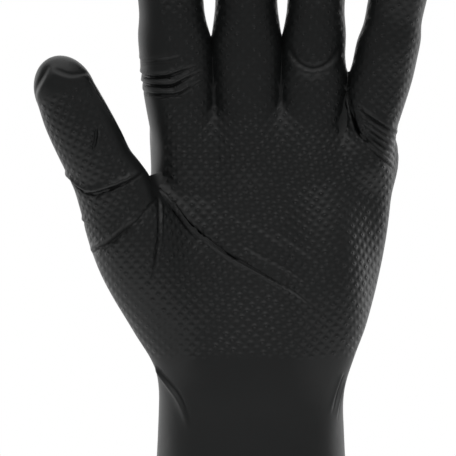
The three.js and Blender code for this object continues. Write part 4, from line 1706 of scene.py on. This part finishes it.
def make_mesh(name: str, points: Array, faces: Faces) -> bpy.types.Mesh:
    """Puts points and faces into a new smooth mesh.

    Args:
        name: Name of the mesh.
        points: Its points, in metres.
        faces: Its faces.

    Returns:
        The mesh.
    """
    mesh = bpy.data.meshes.new(name)
    mesh.vertices.add(len(points))
    mesh.vertices.foreach_set("co", np.ascontiguousarray(points, np.float32).ravel())
    mesh.loops.add(len(faces.corners))
    mesh.loops.foreach_set("vertex_index", faces.corners.astype(np.int32))
    mesh.polygons.add(len(faces.counts))
    starts = np.concatenate([[0], np.cumsum(faces.counts)[:-1]]).astype(np.int32)
    mesh.polygons.foreach_set("loop_start", starts)
    mesh.update(calc_edges=True)
    mesh.validate()
    mesh.polygons.foreach_set("use_smooth", np.ones(len(mesh.polygons), bool))
    return mesh


class Shader:
    """Writes the nodes of a material or a world as formulas."""

    COLOR_INPUTS, COLOR_OUTPUT = slice(6, 8), 2

    def __init__(self, owner: bpy.types.Material | bpy.types.World) -> None:
        """Empties the owner's node tree."""
        owner.use_nodes = True
        self.tree = owner.node_tree
        self.tree.nodes.clear()

    def add(self, kind: str, **settings: object) -> bpy.types.Node:
        """Adds a node.

        Args:
            kind: Its type.
            settings: Values of its properties.

        Returns:
            The node.
        """
        node = self.tree.nodes.new(kind)
        for name, value in settings.items():
            setattr(node, name, value)
        return node

    def put(self, value: object, socket: bpy.types.NodeSocket) -> None:
        """Links an output to a socket, or sets the socket's own value.

        Args:
            value: The output or the value.
            socket: The socket.
        """
        if isinstance(value, bpy.types.NodeSocket):
            self.tree.links.new(value, socket)
        else:
            socket.default_value = value

    def math(self, operation: str, *values: object) -> bpy.types.NodeSocket:
        """Adds a math node.

        Args:
            operation: What it does.
            values: What it takes.

        Returns:
            The result.
        """
        node = self.add("ShaderNodeMath", operation=operation)
        for socket, value in zip(node.inputs, values):
            self.put(value, socket)
        return node.outputs[0]

    def ramp(
        self, value: object, low: float, high: float, to_low: float = 0.0, to_high: float = 1.0
    ) -> bpy.types.NodeSocket:
        """Smoothly takes a range of a value to another range.

        Args:
            value: The value.
            low: Start of its range.
            high: End of its range.
            to_low: Result at the start.
            to_high: Result at the end.

        Returns:
            The result.
        """
        node = self.add("ShaderNodeMapRange", interpolation_type="SMOOTHSTEP")
        for socket, given in zip(node.inputs, (value, low, high, to_low, to_high)):
            self.put(given, socket)
        return node.outputs[0]

    def noise(self, place: object, scale: float, detail: float = 2.0) -> bpy.types.NodeSocket:
        """Adds noise with its mean near a half.

        Args:
            place: Where it is read, in metres.
            scale: Waves per metre.
            detail: How many finer waves are added.

        Returns:
            The noise.
        """
        node = self.add("ShaderNodeTexNoise")
        self.put(place, node.inputs["Vector"])
        node.inputs["Scale"].default_value = scale
        node.inputs["Detail"].default_value = detail
        return node.outputs[0]

    def split(self, value: object) -> Sequence[bpy.types.NodeSocket]:
        """The three numbers of a vector."""
        node = self.add("ShaderNodeSeparateXYZ")
        self.put(value, node.inputs[0])
        return node.outputs

    def attribute(self, name: str) -> Sequence[bpy.types.NodeSocket]:
        """The three numbers that each point holds under a name."""
        return self.split(self.add("ShaderNodeAttribute", attribute_name=name).outputs["Vector"])

    def color(self, share: object, none: Sequence[float], full: Sequence[float]) -> bpy.types.NodeSocket:
        """Adds a mix of two colors.

        Args:
            share: 0 to 1.
            none: Color at 0.
            full: Color at 1.

        Returns:
            The color.
        """
        node = self.add("ShaderNodeMix", data_type="RGBA")
        self.put(share, node.inputs["Factor"])
        for socket, value in zip(node.inputs[self.COLOR_INPUTS], (none, full)):
            socket.default_value = (*value, 1.0)
        return node.outputs[self.COLOR_OUTPUT]


@dataclass(frozen=True)
class NitrileFilm:
    """Black nitrile: a dark satin film with a moulded lattice of small diamonds.

    Lengths are in millimetres, the fields taut and those named waves are in metres and waves per metre.
    """

    color: tuple[float, float, float] = (0.0085, 0.0095, 0.0095)
    # painted shade: near-black colour mixed in along the fold grooves, where shade falls in the crevices
    painted_groove_shade_color: tuple[float, float, float] = (0.0015, 0.0015, 0.0015)
    roughness: float = 0.43
    pitch_across: float = 3.95
    pitch_up: float = 3.7
    diamond: float = 0.3
    roundness: float = 2.0
    dimple: float = 0.16
    dimple_size: float = 0.14
    grain: float = 0.012
    taut: tuple[float, float] = (0.128, 0.15)
    taut_share: float = 0.55
    slack: float = 0.16
    border: float = 2.4
    fold_fade: tuple[float, float] = (0.1, 0.8)
    stretch_from: tuple[float, float] = (0.3, 0.7)
    stretch_to: tuple[float, float] = (0.7, 1.0)
    uneven: tuple[float, float] = (0.75, 1.15)
    dented: tuple[float, float] = (0.15, 0.75)
    stretch_waves: float = 45.0
    slack_waves: float = 130.0
    grain_waves: float = 2500.0
    rough_waves: float = 60.0
    fine_detail: float = 3.0
    rough_swing: float = 0.12
    rough_raised: float = 0.05
    ior: float = 1.5
    specular: float = 0.5
    crest_width: float = 0.5
    groove_at: float = Relief.BESIDE
    groove_width: float = 0.6
    # painted highlight: a higher specular level along the fold crests
    painted_crest_highlight: float = 0.6
    # painted shade: how far the specular level drops along the fold grooves
    groove_shade: float = 1.0
    groove_depth: float = 0.25

    def lattice(self, shader: Shader, u: object, v: object) -> tuple[object, object, object]:
        """Heights of the diamonds, depths of their dimples and a chance value of each diamond.

        With A = u / across + v / up and B = u / across - v / up the diamonds are centred where both are
        whole numbers, and their height goes as a power of |cos(pi A) cos(pi B)|.

        Args:
            shader: The material's nodes.
            u: The pattern's first coordinate.
            v: Its second coordinate.

        Returns:
            Heights, dimples and chance values, each 0 to 1.
        """
        x = shader.math("DIVIDE", u, self.pitch_across)
        y = shader.math("DIVIDE", v, self.pitch_up)
        waves, numbers = [], []
        for total in (shader.math("ADD", x, y), shader.math("SUBTRACT", x, y)):
            wave = shader.math("COSINE", shader.math("MULTIPLY", total, math.pi))
            waves.append(shader.math("ABSOLUTE", wave))
            numbers.append(shader.math("ROUND", total))
        product = shader.math("MULTIPLY", *waves)
        cell = shader.add("ShaderNodeCombineXYZ")
        for number, socket in zip(numbers, cell.inputs):
            shader.put(number, socket)
        chance = shader.add("ShaderNodeTexWhiteNoise", noise_dimensions="2D")
        shader.put(cell.outputs[0], chance.inputs["Vector"])
        dimples = shader.ramp(product, 1.0 - self.dimple_size, 1.0)
        return shader.math("POWER", product, self.roundness), dimples, chance.outputs["Value"]

    def lines(self, shader: Shader) -> tuple[object, object]:
        """Crests and grooves of the folds, each 0 to 1; the crests carry a painted highlight, the grooves
        painted shade and a dip in the bump.

        A line is the largest of strength times exp(-((a - a0) / w)^2) over the layers.

        Args:
            shader: The material's nodes.

        Returns:
            How much of a crest and how much of a groove there is.
        """
        values = []
        for name in ("fold_across", "fold_crest_highlight", "fold_groove_shade"):
            values.append(shader.attribute(name))
        found = []
        places, crests, grooves = values
        kinds = ((crests, 0.0, self.crest_width), (grooves, self.groove_at, self.groove_width))
        for strengths, middle, width in kinds:
            total = 0.0
            for across, strength in zip(places, strengths):
                off = shader.math("DIVIDE", shader.math("SUBTRACT", across, middle), width)
                square = shader.math("MULTIPLY", off, off)
                line = shader.math("EXPONENT", shader.math("MULTIPLY", square, -1.0))
                total = shader.math("MAXIMUM", shader.math("MULTIPLY", line, strength), total)
            found.append(total)
        return found[0], found[1]

    def pattern(self, shader: Shader, place: object, fold: object) -> tuple[object, object]:
        """The raised diamonds and their dimples, each 0 to about 1.

        They fade at the pattern's border and on sharp folds, and stand lower where the film is stretched.

        Args:
            shader: The material's nodes.
            place: The point's place in metres.
            fold: How much of a fold's line there is.

        Returns:
            How far the film is raised, and how far it is dented.
        """
        u, v, inside = shader.attribute("grip")
        diamonds, dimples, chance = self.lattice(shader, u, v)
        border = shader.ramp(inside, 0.0, self.border)
        border = shader.math("MULTIPLY", border, shader.ramp(fold, *self.fold_fade, 1.0, 0.0))
        stretch = shader.ramp(shader.noise(place, self.stretch_waves), *self.stretch_from, *self.stretch_to)
        high = shader.split(place)[2]
        stretch = shader.math("MULTIPLY", stretch, shader.ramp(high, *self.taut, 1.0, self.taut_share))
        uneven = shader.ramp(chance, 0.0, 1.0, *self.uneven)
        raised = shader.math("MULTIPLY", diamonds, border)
        raised = shader.math("MULTIPLY", raised, shader.math("MULTIPLY", stretch, uneven))
        dented = shader.math("MULTIPLY", dimples, border)
        return raised, shader.math("MULTIPLY", dented, shader.ramp(chance, *self.dented))

    def material(self) -> bpy.types.Material:
        """Makes the material: dark film, with its height as bump, a painted highlight along the fold crests
        and painted shade along the fold grooves.

        Returns:
            The material.
        """
        material = bpy.data.materials.new("nitrile_film")
        shader = Shader(material)
        place = shader.add("ShaderNodeTexCoord").outputs["Object"]
        crest, groove = self.lines(shader)
        raised, dented = self.pattern(shader, place, shader.math("MAXIMUM", crest, groove))
        height = shader.math("MULTIPLY", raised, self.diamond)
        for part, scale in (
            (dented, -self.dimple),
            (shader.noise(place, self.slack_waves, self.fine_detail), self.slack),
            (shader.noise(place, self.grain_waves), self.grain),
            (groove, -self.groove_depth),
        ):
            height = shader.math("MULTIPLY_ADD", part, scale, height)
        bump = shader.add("ShaderNodeBump")
        bump.inputs["Distance"].default_value = MM
        shader.put(height, bump.inputs["Height"])
        vary = shader.noise(place, self.rough_waves, self.fine_detail)
        rough = shader.math("MULTIPLY_ADD", vary, self.rough_swing, self.roughness - self.rough_swing / 2)
        rough = shader.math("MULTIPLY_ADD", raised, -self.rough_raised, rough)
        # painted highlight: the specular level rises along the fold crests
        shine = shader.math("MULTIPLY_ADD", crest, self.specular * self.painted_crest_highlight, self.specular)
        # painted shade: the specular level falls along the fold grooves
        shade = shader.math("SUBTRACT", 1.0, shader.math("MULTIPLY", groove, self.groove_shade))
        skin = shader.add("ShaderNodeBsdfPrincipled")
        skin.inputs["IOR"].default_value = self.ior
        # painted shade: the base colour darkens to near black along the fold grooves
        shader.put(shader.color(groove, self.color, self.painted_groove_shade_color), skin.inputs["Base Color"])
        shader.put(shader.math("MULTIPLY", shine, shade), skin.inputs["Specular IOR Level"])
        shader.put(rough, skin.inputs["Roughness"])
        shader.put(bump.outputs[0], skin.inputs["Normal"])
        result = shader.add("ShaderNodeOutputMaterial")
        shader.put(skin.outputs[0], result.inputs["Surface"])
        return material


@dataclass(frozen=True)
class SoftLight:
    """A rectangular studio light, placed and aimed in metres."""

    name: str
    place: tuple[float, float, float]
    aim: tuple[float, float, float]
    size: tuple[float, float]
    power: float

    def build(self) -> None:
        """Adds the light to the scene."""
        data = bpy.data.lights.new(self.name, "AREA")
        data.shape = "RECTANGLE"
        data.size, data.size_y = self.size
        data.energy = self.power
        light = bpy.data.objects.new(self.name, data)
        light.location = self.place
        light.rotation_euler = (Vector(self.aim) - Vector(self.place)).to_track_quat("-Z", "Y").to_euler()
        light.visible_camera = False
        bpy.context.scene.collection.objects.link(light)


class Studio:
    """The floor, the lights, the white surroundings and the camera."""

    FLOOR_Z, FLOOR_RADIUS, FLOOR_SIDES = -0.0015, 0.45, 128
    FLOOR_COLOR, FLOOR_ROUGHNESS = (0.86, 0.86, 0.86), 0.9
    LIGHTS = (
        SoftLight("top_light", (-0.1, -0.9, 1.3), (0.0, 0.0, 0.12), (1.6, 1.2), 2.5),
        SoftLight("left_light", (-1.0, 0.35, 0.2), (0.0, 0.0, 0.1), (0.8, 0.8), 1.5),
        SoftLight("right_light", (1.0, 0.45, 0.0), (0.0, 0.0, 0.08), (0.8, 0.8), 2.0),
    )
    BELOW, ABOVE, RISE = 0.02, 0.29, (-0.7, 0.7)
    ZENITH, HIGH = 0.65, (0.6, 1.0)
    BEHIND, TURN = 1.0, (0.0, 0.9)
    FRAME_WIDTH = 0.155
    FRAME_CENTRE = (-0.0078, 0.103)
    DISTANCE, SENSOR = 1.5, 36.0

    def floor(self) -> bpy.types.Object:
        """Adds the round floor.

        Returns:
            Its object.
        """
        turn = np.linspace(0.0, 2.0 * np.pi, self.FLOOR_SIDES, endpoint=False)
        points = np.stack([np.cos(turn), np.sin(turn), 0 * turn], -1) * self.FLOOR_RADIUS
        points = points + [0.0, 0.0, self.FLOOR_Z]
        mesh = make_mesh("floor", points, Faces.of(np.arange(self.FLOOR_SIDES)[None]))
        material = bpy.data.materials.new("pale_floor")
        material.use_nodes = True
        surface = material.node_tree.nodes["Principled BSDF"]
        surface.inputs["Base Color"].default_value = (*self.FLOOR_COLOR, 1.0)
        surface.inputs["Roughness"].default_value = self.FLOOR_ROUGHNESS
        mesh.materials.append(material)
        floor = bpy.data.objects.new("floor", mesh)
        bpy.context.scene.collection.objects.link(floor)
        return floor

    def surroundings(self) -> None:
        """Makes the world white behind the object, and softly lit from above and from behind otherwise.

        The light of a direction goes smoothly from BELOW to ABOVE over a range of z, ZENITH comes to it
        straight above, and BEHIND as y nears 1.
        """
        world = bpy.data.worlds.new("surroundings")
        shader = Shader(world)
        _, y, z = shader.split(shader.add("ShaderNodeTexCoord").outputs["Generated"])
        front = shader.ramp(z, *self.RISE, self.BELOW, self.ABOVE)
        front = shader.math("ADD", front, shader.ramp(z, *self.HIGH, 0.0, self.ZENITH))
        behind = shader.ramp(y, *self.TURN, 0.0, self.BEHIND)
        seen, fill = shader.add("ShaderNodeBackground"), shader.add("ShaderNodeBackground")
        seen.inputs["Color"].default_value = (1.0, 1.0, 1.0, 1.0)
        fill.inputs["Color"].default_value = (1.0, 1.0, 1.0, 1.0)
        shader.put(shader.math("ADD", front, behind), fill.inputs["Strength"])
        choose = shader.add("ShaderNodeMixShader")
        shader.put(shader.add("ShaderNodeLightPath").outputs["Is Camera Ray"], choose.inputs[0])
        shader.put(fill.outputs[0], choose.inputs[1])
        shader.put(seen.outputs[0], choose.inputs[2])
        result = shader.add("ShaderNodeOutputWorld")
        shader.put(choose.outputs[0], result.inputs["Surface"])
        bpy.context.scene.world = world

    def camera(self) -> None:
        """Adds the level camera, whose frame is so wide at the glove."""
        data = bpy.data.cameras.new("camera")
        data.sensor_width = self.SENSOR
        data.lens = data.sensor_width * self.DISTANCE / self.FRAME_WIDTH
        camera = bpy.data.objects.new("camera", data)
        camera.location = (self.FRAME_CENTRE[0], -self.DISTANCE, self.FRAME_CENTRE[1])
        camera.rotation_euler = (math.pi / 2, 0.0, 0.0)
        bpy.context.scene.collection.objects.link(camera)
        bpy.context.scene.camera = camera

    def build(self) -> None:
        self.floor()
        for light in self.LIGHTS:
            light.build()
        self.surroundings()
        self.camera()
        bpy.context.scene.view_settings.view_transform = "Standard"
        log.info("studio: floor, %d lights and camera", len(self.LIGHTS))


def clear_startup() -> None:
    """Removes the objects of Blender's startup file, and keeps the frame's."""
    kept = set(frame["nodes"].values()) | set(frame["bodies"].values())
    for item in [o for o in bpy.data.objects if o not in kept]:
        bpy.data.objects.remove(item)


def main() -> None:
    """Builds the glove and the studio."""
    logging.basicConfig(level=logging.INFO, format="%(message)s")
    clear_startup()
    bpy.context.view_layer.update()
    glove = Glove().build(NitrileFilm())
    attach(glove, "root")
    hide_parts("glove")
    Studio().build()


if __name__ == "__main__":
    main()
